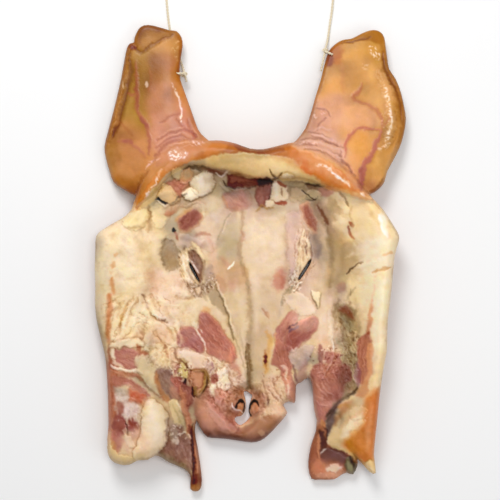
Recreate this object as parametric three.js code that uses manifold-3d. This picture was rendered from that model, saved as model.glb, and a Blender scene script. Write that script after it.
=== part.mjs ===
// A boned, opened and cured pig head, lying skin side down with its flesh side up.
// It is one piece of skin, fat and meat: the face sheet, the rolled band of neck skin
// at the poll, both ears, the snout and the two jowl flaps. A length of twine is
// tied through the edge of each ear, and ends in a small hanging loop.
//
// Millimetres, +Z up. The outlines and the height tables are in drawing units,
// x to the right and y downwards, with (250, 250) at the middle of the drawing.
import * as THREE from "three";
import { mergeVertices } from "three/addons/utils/BufferGeometryUtils.js";
import Module from "manifold-3d";

// ---- driving dimensions -------------------------------------------------
const UNIT = 1.15; // one drawing unit
const MIDDLE = 250; // the drawing's middle, both ways
const SPLAY_REACH = 1600; // the head narrows by height / SPLAY_REACH towards its upper edges
const SPLAY_HEIGHT = 30; // the height where the outline has its drawn size
const CENTRE_X = 0.74; // the drawing's middle lies this far from the head's own middle
const CENTRE_Y = 10.27;
const CELL = 13; // grid of the sheet surfaces
const EAR_THICKNESS = 6.5;
const TWINE = 2.8; // twine diameter
const TWINE_HOLE = 5.4; // hole through the ear
const GAP = 0.35; // clearance between the twine and the ear

const wasm = await Module();
wasm.setup();

// ---- helpers ------------------------------------------------------------
const toX = (u) => (u - MIDDLE) * UNIT;
const toY = (v) => (MIDDLE - v) * UNIT;

// A THREE geometry as a manifold solid.
function solid(geometry) {
  const g = geometry.clone();
  for (const name of Object.keys(g.attributes)) if (name !== "position") g.deleteAttribute(name);
  const m = mergeVertices(g, 1e-4);
  return new wasm.Manifold(
    new wasm.Mesh({
      numProp: 3,
      vertProperties: new Float32Array(m.attributes.position.array),
      triVerts: new Uint32Array(m.index.array),
    }),
  );
}

// Cubic interpolation of one row of values over uneven stations.
function along(stations, values, t) {
  const n = stations.length;
  const x = Math.min(Math.max(t, stations[0]), stations[n - 1]);
  let i = 0;
  while (i < n - 2 && x > stations[i + 1]) i++;
  const h = stations[i + 1] - stations[i];
  const s = (x - stations[i]) / h;
  const slope = (k) => {
    const a = Math.max(0, k - 1);
    const b = Math.min(n - 1, k + 1);
    return (values[b] - values[a]) / (stations[b] - stations[a]);
  };
  const m0 = slope(i) * h;
  const m1 = slope(i + 1) * h;
  const s2 = s * s;
  const s3 = s2 * s;
  return (
    (2 * s3 - 3 * s2 + 1) * values[i] + (s3 - 2 * s2 + s) * m0 + (-2 * s3 + 3 * s2) * values[i + 1] + (s3 - s2) * m1
  );
}

// A height table: rows of values at the stations us, one row for each of vs.
const table = (us, vs, rows) => (u, v) =>
  along(
    vs,
    rows.map((row) => along(us, row, u)),
    v,
  );

// A closed outline in drawing units as a THREE.Shape in millimetres.
function outline(points) {
  const curve = new THREE.CatmullRomCurve3(
    points.map(([u, v]) => new THREE.Vector3(toX(u), toY(v), 0)),
    true,
    "centripetal",
  );
  return new THREE.Shape(curve.getPoints(points.length * 2).map((p) => new THREE.Vector2(p.x, p.y)));
}

// A sheet with the given outline between two height tables.
function sheet(points, top, bottom, cell = CELL) {
  const us = points.map((p) => p[0]);
  const vs = points.map((p) => p[1]);
  const u0 = Math.min(...us) - 6;
  const u1 = Math.max(...us) + 6;
  const v0 = Math.min(...vs) - 6;
  const v1 = Math.max(...vs) + 6;
  const w = (u1 - u0) * UNIT;
  const h = (v1 - v0) * UNIT;
  const slab = new THREE.BoxGeometry(w, h, 2, Math.round(w / cell), Math.round(h / cell), 1);
  slab.translate(toX((u0 + u1) / 2), toY((v0 + v1) / 2), 0);
  const p = slab.attributes.position;
  for (let i = 0; i < p.count; i++) {
    const u = p.getX(i) / UNIT + MIDDLE;
    const v = MIDDLE - p.getY(i) / UNIT;
    const low = bottom(u, v);
    p.setZ(i, p.getZ(i) > 0 ? Math.max(top(u, v), low + 2.5) : low);
  }
  const wall = new THREE.ExtrudeGeometry(outline(points), { depth: 160, bevelEnabled: false, steps: 1 });
  wall.translate(0, 0, -40);
  return solid(slab).intersect(solid(wall));
}

// A round cord of flesh along points [u, v, z], with one radius at each end.
function cord(points, radius, sides = 8, steps = 16) {
  const path = new THREE.CatmullRomCurve3(points.map(([u, v, z]) => new THREE.Vector3(toX(u), toY(v), z)));
  const ring = new THREE.Shape(
    Array.from({ length: sides }, (_, i) => {
      const a = (i / sides) * 2 * Math.PI;
      return new THREE.Vector2(radius * Math.cos(a), radius * Math.sin(a));
    }),
  );
  return solid(new THREE.ExtrudeGeometry(ring, { steps, bevelEnabled: false, extrudePath: path }));
}

// ---- face sheet ---------------------------------------------------------
const FACE_U = [90, 120, 150, 180, 210, 240, 265, 290, 320, 350, 380, 405];
const FACE_V = [135, 150, 165, 185, 205, 235, 270, 300, 340, 380, 420, 450, 495];
const FACE_TOP = [
  [30, 30, 34, 42, 48, 50, 50, 50, 46, 36, 30, 28],
  [30, 30, 36, 46, 50, 52, 52, 52, 50, 42, 32, 28],
  [32, 32, 38, 42, 42, 40, 40, 40, 44, 46, 38, 32],
  [36, 38, 38, 34, 28, 24, 24, 26, 34, 42, 46, 40],
  [40, 42, 38, 32, 26, 22, 22, 24, 28, 38, 52, 48],
  [46, 46, 40, 28, 24, 20, 19, 22, 26, 34, 56, 54],
  [46, 46, 40, 28, 24, 17, 16, 22, 26, 28, 54, 56],
  [44, 44, 40, 32, 26, 15, 15, 22, 26, 24, 54, 57],
  [42, 42, 40, 34, 28, 14, 15, 24, 28, 24, 52, 57],
  [38, 42, 40, 34, 30, 16, 18, 26, 32, 26, 50, 56],
  [36, 44, 44, 24, 26, 24, 24, 24, 28, 32, 46, 50],
  [34, 42, 42, 20, 18, 20, 20, 20, 20, 24, 40, 42],
  [30, 36, 34, 18, 14, 16, 16, 16, 16, 18, 34, 36],
];
const FACE_BOTTOM = [
  [12, 12, 16, 22, 28, 30, 30, 30, 26, 18, 12, 10],
  [12, 12, 14, 20, 24, 26, 26, 26, 24, 20, 14, 10],
  [12, 10, 10, 10, 10, 10, 10, 10, 12, 18, 18, 14],
  [14, 10, 6, 2, -2, -3, -3, -2, 2, 8, 18, 18],
  [18, 10, 4, -2, -3, -3, -3, -3, -2, 5, 18, 24],
  [24, 12, 4, -3, -3, -3, -3, -3, -3, 4, 18, 28],
  [25, 12, 4, -3, -3, -3, -3, -3, -3, 2, 16, 30],
  [24, 12, 4, -3, -3, -3, -3, -3, -3, 2, 16, 30],
  [22, 10, 4, -3, -3, -3, -3, -3, -3, 2, 14, 28],
  [20, 10, 4, -2, -3, -3, -3, -3, 1, 4, 12, 26],
  [18, 10, 6, 1, -3, -3, -3, -2, 4, 8, 14, 24],
  [18, 12, 8, 4, 2, -2, -2, 2, 4, 8, 14, 22],
  [16, 12, 8, 4, 2, 2, 2, 2, 4, 8, 14, 20],
];
const FACE_OUTLINE = [
  [134, 205], [136, 195], [140, 180], [149, 168], [163, 156], [180, 147], [198, 141.5], [211, 140.5],
  [222, 140.6], [236, 143.5], [250, 148.4], [264, 149], [280, 145.2], [296, 142], [310, 146], [325, 154],
  [340, 164], [354, 176], [364, 188], [372, 197.5], [383.5, 210], [393.8, 226], [399, 235.5], [398.6, 242],
  [395, 255], [392.7, 277], [390.4, 300], [388.1, 318], [387.2, 336], [387, 350], [383.5, 369], [380.1, 392],
  [377.8, 414], [375.5, 437], [374, 455], [376, 473], [369.7, 472], [364, 465.7], [352, 454], [339, 448.5],
  [327, 440], [334, 430], [340, 420], [334, 414], [323, 431], [318, 424], [314, 409], [312.9, 395],
  [311.7, 383.6], [308.3, 377.3], [300.8, 382.6], [296.3, 385], [295.7, 397], [294.5, 403], [288.8, 401.4],
  [283.2, 405], [287.3, 412], [284, 418], [277.9, 425], [268.7, 434.7], [260.7, 440.6], [251.5, 442.4],
  [240, 441], [229.2, 439.3], [217.8, 438.2], [207, 437], [200.5, 428.4], [196.5, 420.4], [195, 432],
  [197.5, 446], [200.2, 464], [202, 480], [200.5, 489], [195.9, 491.5], [190.2, 489], [190.6, 478],
  [187.4, 471.5], [179.5, 466.8], [169, 462.4], [162, 458], [155.8, 455.4], [147.7, 459.8], [137.4, 460.5],
  [129.4, 464.8], [119, 464.4], [111, 460], [107.6, 452], [107, 440], [108.4, 424], [107.6, 392],
  [106.4, 370], [104.7, 355], [101.2, 340], [97.2, 323.5], [94.9, 306], [95.3, 289], [94.7, 270],
  [95.2, 250], [96.1, 236], [103, 229.4], [114.4, 222.5], [125.9, 215.6],
];

// ---- rolled band of neck skin over the poll ------------------------------
const BAND_U = [125, 145, 165, 190, 215, 255, 295, 320, 345, 375];
const BAND_V = [135, 147, 160, 175, 192, 215];
const BAND_TOP = [
  [30, 36, 42, 46, 48, 49, 49, 48, 44, 40],
  [34, 40, 46, 52, 57, 59, 59, 57, 50, 44],
  [38, 43, 50, 56, 59, 61, 62, 61, 57, 50],
  [40, 46, 52, 54, 55, 56, 58, 60, 60, 54],
  [42, 46, 48, 48, 48, 48, 50, 54, 57, 57],
  [42, 42, 42, 42, 42, 42, 44, 48, 52, 54],
];
const BAND_OUTLINE = [
  [131, 211.5], [136, 196], [140, 181], [149, 169], [163, 157], [180, 148], [198, 142.2], [211, 141],
  [236, 144], [250, 148.8], [264, 149.4], [280, 145.6], [296, 142.6], [312, 147], [335, 161], [353, 175.6],
  [364, 189], [373, 199], [368, 201], [348, 195], [328, 187], [308, 180], [290, 177], [268, 179],
  [250, 177], [232, 172], [214, 168.5], [196, 165], [182, 167], [172, 173], [160, 186], [148, 198], [138, 208],
];

// ---- ears ---------------------------------------------------------------
const LEFT_U = [100, 115, 130, 150, 170, 190, 215];
const LEFT_V = [20, 45, 75, 105, 135, 160, 200];
const LEFT_TOP = [
  [10, 12, 15, 17, 16, 13, 12],
  [12, 15, 18, 20, 20, 17, 16],
  [14, 18, 20, 25, 28, 23, 20],
  [16, 20, 24, 32, 36, 32, 30],
  [16, 22, 29, 38, 43, 44, 44],
  [16, 23, 31, 41, 47, 50, 52],
  [14, 20, 27, 36, 42, 46, 48],
];
const LEFT_OUTLINE = [
  [144, 25.3], [153.6, 25.6], [169.5, 30.2], [176.5, 31], [181.6, 37.4], [182.7, 45.7], [181, 57.2],
  [179.8, 68.7], [180.4, 79.5], [185.5, 94.2], [191.8, 112], [198.2, 129.5], [204.5, 137], [212, 144],
  [214, 154], [200, 162], [180, 166], [160, 178], [148, 192], [137, 196.4], [123, 189.2], [113.4, 182],
  [109.4, 170.7], [105.7, 158], [104.4, 146.5], [107.7, 132.4], [112.1, 115.9], [116.6, 98], [121, 79],
  [124.2, 61], [126.8, 48.3], [130, 43.4], [133.8, 42.6], [134.4, 38.1], [138.3, 29.4],
];
const RIGHT_U = [290, 310, 325, 345, 365, 385, 408];
const RIGHT_V = [25, 50, 80, 110, 140, 165, 205];
const RIGHT_TOP = [
  [12, 13, 13, 15, 17, 15, 12],
  [15, 16, 17, 20, 22, 19, 14],
  [22, 24, 24, 25, 26, 25, 18],
  [34, 34, 33, 31, 30, 31, 21],
  [46, 44, 41, 37, 33, 31, 21],
  [52, 51, 48, 43, 37, 32, 22],
  [48, 48, 47, 42, 36, 30, 20],
];
const RIGHT_OUTLINE = [
  [374.2, 29.9], [380.6, 32.1], [384.4, 37.9], [385.9, 48], [387.3, 58], [389.2, 69], [395.9, 79.2],
  [401, 92.7], [404.2, 106.7], [406, 119.5], [403.7, 134.8], [399.7, 147.6], [393.3, 160.3], [387.2, 171.8],
  [384.4, 182], [379.3, 188.6], [369.1, 194.9], [355, 192], [340, 183], [322, 172], [303, 162], [291, 152],
  [291.5, 144.4], [296, 140.6], [305.3, 128.4], [310.4, 114.4], [315.5, 96.5], [320.6, 80], [323.4, 68.5],
  [325.8, 60], [328.6, 51.4], [334.6, 44.7], [342.3, 40], [351.2, 38.7], [358.9, 34.9], [366.5, 31.4],
];

// The ear's underside is hollow: it follows its upper side, and never goes under the surface it lies on.
const leftTop = table(LEFT_U, LEFT_V, LEFT_TOP);
const rightTop = table(RIGHT_U, RIGHT_V, RIGHT_TOP);
const earUnder = (top) => (u, v) => Math.max(top(u, v) - EAR_THICKNESS - Math.max(0, v - 130) * 0.12, 5.2);

// ---- the lip piece under the right jowl ------------------------------------
const LIP_OUTLINE = [
  [322, 400], [338, 398], [350, 410], [352, 440], [357, 458], [357.4, 466], [353, 474.4], [347, 472.6],
  [341, 475], [334, 479.4], [320, 479.6], [311.4, 478.6], [308.2, 467], [309, 455], [311.4, 443.3],
  [315.8, 430.5], [317, 418],
];
const lipTop = (u, v) => 21 + 3 * Math.sin((v - 400) / 18) - Math.max(0, v - 460) * 0.25;

// ---- one-piece head ------------------------------------------------------
const faceTop = table(FACE_U, FACE_V, FACE_TOP);
const faceBottom = table(FACE_U, FACE_V, FACE_BOTTOM);
const bandTop = table(BAND_U, BAND_V, BAND_TOP);

let head = sheet(FACE_OUTLINE, faceTop, faceBottom);
head = head.add(sheet(BAND_OUTLINE, bandTop, (u, v) => bandTop(u, v) - 15));
head = head.add(sheet(LEFT_OUTLINE, leftTop, earUnder(leftTop)));
head = head.add(sheet(RIGHT_OUTLINE, rightTop, earUnder(rightTop)));
head = head.add(sheet(LIP_OUTLINE, lipTop, (u, v) => 5));
// the rolled front edge of the left ear, and the thick outer edge of the right one
head = head.add(cord([[133, 47, 16], [129, 62, 17.5], [124, 85, 19], [118.5, 108, 19.5], [112.5, 130, 18.5], [109.5, 147, 15]], 5, 8, 12));
head = head.add(cord([[384, 58, 17], [390, 78, 18.5], [396, 98, 19.5], [399, 120, 19], [396, 142, 18.5], [388, 162, 18]], 5, 8, 12));
// the string of sinew along the edge of the left flap
head = head.add(cord([[184, 398, 27], [189, 420, 25], [192.5, 440, 21], [196, 462, 17], [197.4, 486, 15]], 5.2));

// The nasal passages, open from the flesh side to the skin side, and the two eye slits.
const NOSTRILS = [
  [243.6, 392.5], [246, 391], [249.5, 393], [252.3, 395.5], [250.8, 400], [249, 406], [248.6, 412], [250, 416],
  [248, 419.5], [243.5, 423.5], [240, 425], [236.8, 423], [234.6, 419.5], [236.4, 416.6], [241, 416],
  [244.6, 411.5], [245.8, 405], [245.2, 398],
];
const EYE_LEFT = [[189.2, 261.5], [191.6, 266], [195.4, 272.5], [199.4, 281.4], [197.6, 280.4], [193.4, 274.4], [190.4, 268.5]];
const EYE_RIGHT = [[297.8, 281], [300.4, 275], [304.4, 268.2], [308, 263], [311.2, 258.6], [310, 264], [306.6, 270], [302.4, 276.4]];
for (const points of [NOSTRILS, EYE_LEFT, EYE_RIGHT]) {
  const through = new THREE.ExtrudeGeometry(outline(points), { depth: 160, bevelEnabled: false, steps: 1 });
  through.translate(0, 0, -40);
  head = head.subtract(solid(through));
}

// The flat patch that the head lies on.
const above = new THREE.BoxGeometry(800, 900, 200);
above.translate(0, 0, 100);
head = head.intersect(solid(above));

// ---- twine ---------------------------------------------------------------
// Each length: a short tail, a turn through the ear's edge, a knot beside it, the line away, a knot and a hanging loop.
const EAR_TIES = {
  left: {
    hole: [176.4, 73.4],
    knot: [184.6, 74.6, 15.5],
    tail: [[186.6, 81.5, 12.5], [185.6, 78, 14]],
    line: [[183, 68, 5.2], [179, 56, 1.9], [172.5, 38, 1.9], [169.6, 28, 1.9], [167.4, 10, 1.9], [165.8, -14, 1.9]],
    loop: [165.2, -25.5],
  },
  right: {
    hole: [332.2, 54.4],
    knot: [325.2, 50.8, 12.5],
    tail: [[320.9, 71, 13.5], [322.5, 64, 14], [324, 57, 13.5]],
    line: [[326.4, 45.6, 6], [328, 38, 2.2], [329.9, 24, 1.9], [332, 10, 1.9], [334.6, -14, 1.9]],
    loop: [335.8, -25.5],
  },
};
const LOOP_RADIUS = 10.5;
const KNOT_RADIUS = 3.3;

const bore = ([u, v]) => {
  const c = new THREE.CylinderGeometry(TWINE_HOLE / 2, TWINE_HOLE / 2, 100, 12, 1);
  c.rotateX(Math.PI / 2);
  c.translate(toX(u), toY(v), 20);
  return solid(c);
};
for (const tie of Object.values(EAR_TIES)) head = head.subtract(bore(tie.hole));

const ball = ([u, v, z], r) => {
  const s = new THREE.SphereGeometry(r, 12, 8);
  s.translate(toX(u), toY(v), z);
  return solid(s);
};

function twine(tie, earTop) {
  const top = earTop(...tie.hole);
  const [hu, hv] = tie.hole;
  const [ku, kv, kz] = tie.knot;
  const side = Math.sign(ku - hu);
  const r = TWINE / 2;
  const mid = (ku + hu) / 2;
  const turn = [
    ...tie.tail,
    [ku - side * 0.2, kv + 1.2, kz - 1.6],
    [mid + side * 1.6, kv + 1.0, top - EAR_THICKNESS - 4.2],
    [hu + side * 0.4, hv + 0.3, top - EAR_THICKNESS - 3.0],
    [hu, hv, top - EAR_THICKNESS / 2],
    [hu + side * 0.5, hv, top + 2.6],
    [mid + side * 1.2, (kv + hv) / 2 - 0.6, top + 3.1],
    [ku, kv - 0.8, kz + 1.8],
  ];
  const line = [[ku, kv, kz], ...tie.line];
  const tube = (points, steps) => {
    const path = new THREE.CatmullRomCurve3(points.map(([u, v, z]) => new THREE.Vector3(toX(u), toY(v), z)));
    const ring = new THREE.Shape(
      Array.from({ length: 8 }, (_, i) => new THREE.Vector2(r * Math.cos((i * Math.PI) / 4), r * Math.sin((i * Math.PI) / 4))),
    );
    return solid(new THREE.ExtrudeGeometry(ring, { steps, bevelEnabled: false, extrudePath: path }));
  };
  const ring = new THREE.TorusGeometry(LOOP_RADIUS, r, 8, 28);
  ring.translate(toX(tie.loop[0]), toY(tie.loop[1]), 1.9);
  const end = tie.line[tie.line.length - 1];
  return tube(turn, 28)
    .add(tube(line, 26))
    .add(ball(tie.knot, KNOT_RADIUS))
    .add(ball([end[0], end[1] - 1.2, 3.4], KNOT_RADIUS))
    .add(solid(ring));
}
const twineLeft = twine(EAR_TIES.left, leftTop);
const twineRight = twine(EAR_TIES.right, rightTop);

// ---- into the part's frame ------------------------------------------------
function mesh(name, shape, material) {
  const m = shape.getMesh();
  const position = new Float32Array(m.numVert * 3);
  for (let i = 0; i < m.numVert; i++) {
    const x = m.vertProperties[i * m.numProp];
    const y = m.vertProperties[i * m.numProp + 1];
    const z = m.vertProperties[i * m.numProp + 2];
    const k = 1 - (z - SPLAY_HEIGHT) / SPLAY_REACH;
    position[i * 3] = x * k - CENTRE_X;
    position[i * 3 + 1] = y * k + CENTRE_Y;
    position[i * 3 + 2] = z;
  }
  const g = new THREE.BufferGeometry();
  g.setAttribute("position", new THREE.BufferAttribute(position, 3));
  g.setIndex(new THREE.BufferAttribute(new Uint32Array(m.triVerts), 1));
  g.computeVertexNormals();
  const made = new THREE.Mesh(g, material);
  made.name = name;
  return made;
}

const group = new THREE.Group();
group.add(
  mesh("cured_head", head, new THREE.MeshStandardMaterial({ color: 0xe0b98c, roughness: 0.45, metalness: 0 })),
  mesh("twine_left", twineLeft, new THREE.MeshStandardMaterial({ color: 0xd9c9a3, roughness: 0.9, metalness: 0 })),
  mesh("twine_right", twineRight, new THREE.MeshStandardMaterial({ color: 0xd9c9a3, roughness: 0.9, metalness: 0 })),
);

export default group;
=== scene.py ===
import math

import bpy
import numpy as np
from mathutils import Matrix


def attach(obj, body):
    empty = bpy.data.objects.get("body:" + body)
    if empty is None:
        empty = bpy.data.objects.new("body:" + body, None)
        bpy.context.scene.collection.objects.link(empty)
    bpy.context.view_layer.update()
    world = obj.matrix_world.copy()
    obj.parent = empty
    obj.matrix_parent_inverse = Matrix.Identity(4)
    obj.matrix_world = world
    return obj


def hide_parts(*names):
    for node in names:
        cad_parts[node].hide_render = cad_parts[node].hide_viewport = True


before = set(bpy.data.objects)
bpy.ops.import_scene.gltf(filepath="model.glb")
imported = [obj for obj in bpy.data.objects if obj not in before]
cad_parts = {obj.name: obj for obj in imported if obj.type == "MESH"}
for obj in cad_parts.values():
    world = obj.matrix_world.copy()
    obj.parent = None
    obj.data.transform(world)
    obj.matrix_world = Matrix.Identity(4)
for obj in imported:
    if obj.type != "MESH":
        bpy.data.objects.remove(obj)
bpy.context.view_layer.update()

# ---- drawing units, as in the part's source -----------------------------------
UNIT = 0.00115
MIDDLE = 250.0
SPLAY_REACH = 1.6
SPLAY_HEIGHT = 0.030
CENTRE_X = 0.00074
CENTRE_Y = 0.01027


def place(u, v, z):
    """Drawing units and a height in metres to the part's frame."""
    k = 1 - (z - SPLAY_HEIGHT) / SPLAY_REACH
    return (u - MIDDLE) * UNIT * k - CENTRE_X, (MIDDLE - v) * UNIT * k + CENTRE_Y, z


# ---- camera ---------------------------------------------------------------------
camera = bpy.data.objects.new("camera", bpy.data.cameras.new("camera"))
bpy.context.collection.objects.link(camera)
camera.location = (-CENTRE_X, CENTRE_Y, SPLAY_HEIGHT + SPLAY_REACH)
camera.rotation_euler = (0, 0, 0)
camera.data.sensor_width = 36.0
camera.data.lens = 36.0 * SPLAY_REACH / (500 * UNIT)
camera.data.clip_start = 0.05
camera.data.clip_end = 10
bpy.context.scene.camera = camera

# ---- twine ------------------------------------------------------------------------
TWINE = 0.0028
LOOP_RADIUS = 0.0105
EARS = {
    "left": {
        "hole": (176.4, 73.4),
        "knot": (184.6, 74.6, 15.5),
        "tail": [(186.6, 81.5, 12.5), (185.6, 78, 14)],
        "line": [(183, 68, 5.2), (179, 56, 1.9), (172.5, 38, 1.9), (169.6, 28, 1.9), (167.4, 10, 1.9), (165.8, -14, 1.9)],
        "loop": (165.2, -25.5),
        "top": 22.5,
    },
    "right": {
        "hole": (332.2, 54.4),
        "knot": (325.2, 50.8, 12.5),
        "tail": [(320.9, 71, 13.5), (322.5, 64, 14), (324, 57, 13.5)],
        "line": [(326.4, 45.6, 6), (328, 38, 2.2), (329.9, 24, 1.9), (332, 10, 1.9), (334.6, -14, 1.9)],
        "loop": (335.8, -25.5),
        "top": 17.8,
    },
}


def catmull(points, per=6, closed=False):
    """A smooth run of points through the given ones, in any number of dimensions."""
    p = np.asarray(points, float)
    n = len(p)
    out = []
    spans = n if closed else n - 1
    for i in range(spans):
        if closed:
            a, b, c, d = p[i - 1], p[i], p[(i + 1) % n], p[(i + 2) % n]
        else:
            b, c = p[i], p[i + 1]
            a = p[i - 1] if i else 2 * b - c
            d = p[i + 2] if i + 2 < n else 2 * c - b
        for t in np.arange(per) / per:
            out.append(
                0.5
                * (2 * b + (c - a) * t + (2 * a - 5 * b + 4 * c - d) * t**2 + (3 * b - a - 3 * c + d) * t**3)
            )
    if not closed:
        out.append(p[-1])
    return np.array(out)


def spaced(points, n):
    """The same run, resampled to n points at equal steps."""
    p = np.asarray(points, float)
    s = np.concatenate([[0], np.cumsum(np.linalg.norm(np.diff(p, axis=0), axis=1))])
    t = np.linspace(0, s[-1], n)
    return np.stack([np.interp(t, s, p[:, k]) for k in range(p.shape[1])], 1), s[-1]


def ply_mesh(name, route, diameter, strands=2, lay=0.0075, around=8, per_lay=14):
    """Twisted cord as one mesh: strands that wind round a route."""
    total = spaced(route, 2)[1]
    n = max(12, int(total / lay * per_lay))
    line, total = spaced(route, n)
    tangent = np.gradient(line, axis=0)
    tangent /= np.linalg.norm(tangent, axis=1)[:, None]
    normal = np.zeros_like(line)
    v = np.cross(tangent[0], (0.0, 0.0, 1.0))
    if np.linalg.norm(v) < 1e-6:
        v = np.cross(tangent[0], (0.0, 1.0, 0.0))
    v /= np.linalg.norm(v)
    for i in range(n):
        v = v - tangent[i] * np.dot(v, tangent[i])
        v /= np.linalg.norm(v)
        normal[i] = v
    binormal = np.cross(tangent, normal)
    s = np.linspace(0, total, n)
    strand_r = diameter * 0.27
    verts, faces = [], []
    for k in range(strands):
        phase = 2 * np.pi * (s / lay + k / strands)
        off = diameter / 2 - strand_r
        centre = line + off * (np.cos(phase)[:, None] * normal + np.sin(phase)[:, None] * binormal)
        base = len(verts)
        for i in range(n):
            for j in range(around):
                a = 2 * np.pi * j / around
                verts.append(centre[i] + strand_r * (math.cos(a) * normal[i] + math.sin(a) * binormal[i]))
        for i in range(n - 1):
            for j in range(around):
                a = base + i * around + j
                b = base + i * around + (j + 1) % around
                faces.append((a, b, b + around, a + around))
        faces.append(tuple(base + j for j in range(around))[::-1])
        faces.append(tuple(base + (n - 1) * around + j for j in range(around)))
    mesh = bpy.data.meshes.new(name)
    mesh.from_pydata([tuple(p) for p in verts], [], faces)
    mesh.polygons.foreach_set("use_smooth", [True] * len(mesh.polygons))
    mesh.update()
    piece = bpy.data.objects.new(name, mesh)
    bpy.context.collection.objects.link(piece)
    return piece, line, total


def mm(u, v, z):
    return np.array(place(u, v, z / 1000.0))


twines = []
for side, tie in EARS.items():
    hu, hv = tie["hole"]
    ku, kv, kz = tie["knot"]
    sign = math.copysign(1, ku - hu)
    top = tie["top"]
    mid = (ku + hu) / 2
    turn = tie["tail"] + [
        (ku - sign * 0.2, kv + 1.2, kz - 1.6),
        (mid + sign * 1.6, kv + 1.0, top - 10.7),
        (hu + sign * 0.4, hv + 0.3, top - 9.5),
        (hu, hv, top - 3.2),
        (hu + sign * 0.5, hv, top + 2.6),
        (mid + sign * 1.2, (kv + hv) / 2 - 0.6, top + 3.1),
        (ku, kv - 0.8, kz + 1.2),
    ]
    lu, lv = tie["loop"]
    ring = []
    for a in np.linspace(0, 2 * np.pi, 17)[1:-1]:
        ring.append((lu + math.sin(a) * LOOP_RADIUS / UNIT, lv + math.cos(a) * LOOP_RADIUS / UNIT, 1.9))
    hang = [(ku, kv, kz)] + tie["line"] + ring
    hang.append((lu, lv + LOOP_RADIUS / UNIT, 3.6))
    # one line: round the ear's edge, then away to the hanging loop
    route = catmull([mm(*p) for p in turn[:-1] + hang], 8)
    cord, path, length = ply_mesh("twine_" + side + "_cord", route, TWINE)
    knots = []
    for label, centre, size in (
        ("ear", (ku, kv, kz), 0.0030),
        ("loop", (tie["line"][-1][0], tie["line"][-1][1] - 1.2, 3.4), 0.0030),
    ):
        c = mm(*centre)
        t = np.linspace(0, 2 * np.pi, 40)
        knot = np.stack(
            [np.sin(t) + 2 * np.sin(2 * t), np.cos(t) - 2 * np.cos(2 * t), -np.sin(3 * t)], 1
        ) * (size / 3.4)
        piece, _, _ = ply_mesh("twine_" + side + "_knot_" + label, c + knot, TWINE * 0.8, per_lay=22, around=6)
        knots.append(piece)
    twines.append((side, cord, knots, path, length, route[0]))

# ---- paint: colour, height and gloss over the drawing ------------------------------
# paint begin
SCALE = 3.0
PU0, PV0, PU1, PV1 = 84.0, 14.0, 416.0, 500.0
PW = int((PU1 - PU0) * SCALE) + 1
PH = int((PV1 - PV0) * SCALE) + 1
gu = (PU0 + np.arange(PW) / SCALE).astype(np.float32)
gv = (PV0 + np.arange(PH) / SCALE).astype(np.float32)
UU, VV = np.meshgrid(gu, gv)
_tables = {}


def vnoise(x, y, seed):
    """Smooth noise from -1 to 1."""
    if seed not in _tables:
        _tables[seed] = np.random.default_rng(seed).uniform(-1, 1, (128, 128)).astype(np.float32)
    t = _tables[seed]
    xf, yf = np.floor(x), np.floor(y)
    fx, fy = x - xf, y - yf
    xi, yi = xf.astype(np.int32) & 127, yf.astype(np.int32) & 127
    xj, yj = (xi + 1) & 127, (yi + 1) & 127
    fx = fx * fx * fx * (fx * (fx * 6 - 15) + 10)
    fy = fy * fy * fy * (fy * (fy * 6 - 15) + 10)
    a = t[yi, xi] * (1 - fx) + t[yi, xj] * fx
    b = t[yj, xi] * (1 - fx) + t[yj, xj] * fx
    return a * (1 - fy) + b * fy


def fbm(x, y, seed, octaves=3, fall=0.55):
    total, size, amount = 0, 0.0, 1.0
    for k in range(octaves):
        c, s = math.cos(0.55 + 1.1 * k), math.sin(0.55 + 1.1 * k)
        total = total + amount * vnoise((x * c - y * s) * 2**k + 17.3 * k, (x * s + y * c) * 2**k - 9.1 * k, seed + k)
        size += amount
        amount *= fall
    return total / size * 1.35


# edges wander a little from their drawn lines
DU = 1.1 * fbm(UU / 9, VV / 9, 11, 3) + 0.45 * fbm(UU / 2.2, VV / 2.2, 15, 2)
DV = 1.1 * fbm(UU / 9 + 40, VV / 9, 21, 3) + 0.45 * fbm(UU / 2.2 + 40, VV / 2.2, 25, 2)


CLOUD = fbm(UU / 5.5, VV / 5.5, 27, 4, 0.62)
THIN = fbm(UU / 2.6, VV / 2.6, 33, 3, 0.6)


def rgb(text):
    return np.array([int(text[i : i + 2], 16) / 255 for i in (1, 3, 5)], np.float32)


def points(text):
    return np.array([[float(x) for x in pair.split(",")] for pair in text.split()], np.float32)


def window(p, pad):
    c0 = max(0, int((p[:, 0].min() - pad - PU0) * SCALE))
    c1 = min(PW, int((p[:, 0].max() + pad - PU0) * SCALE) + 2)
    r0 = max(0, int((p[:, 1].min() - pad - PV0) * SCALE))
    r1 = min(PH, int((p[:, 1].max() + pad - PV0) * SCALE) + 2)
    return slice(r0, r1), slice(c0, c1)


def to_segments(X, Y, p, closed, widths=None):
    """Distance to a run of segments, less the width there, and how far along the nearest point is."""
    best = np.full(X.shape, 1e9, np.float32)
    where = np.zeros(X.shape, np.float32)
    n = len(p)
    spans = n if closed else n - 1
    for i in range(spans):
        a, b = p[i], p[(i + 1) % n]
        dx, dy = b - a
        ll = dx * dx + dy * dy + 1e-9
        t = np.clip(((X - a[0]) * dx + (Y - a[1]) * dy) / ll, 0, 1)
        d = np.hypot(X - a[0] - t * dx, Y - a[1] - t * dy)
        if widths is not None:
            d = d - (widths[i] + (widths[(i + 1) % n] - widths[i]) * t)
        near = d < best
        best = np.where(near, d, best)
        where = np.where(near, (i + t) / spans, where)
    return best, where


def inside(X, Y, p):
    odd = np.zeros(X.shape, bool)
    n = len(p)
    for i in range(n):
        a, b = p[i], p[(i + 1) % n]
        if a[1] == b[1]:
            continue
        hit = (a[1] > Y) != (b[1] > Y)
        odd ^= hit & (X < (b[0] - a[0]) * (Y - a[1]) / (b[1] - a[1]) + a[0])
    return odd


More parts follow.
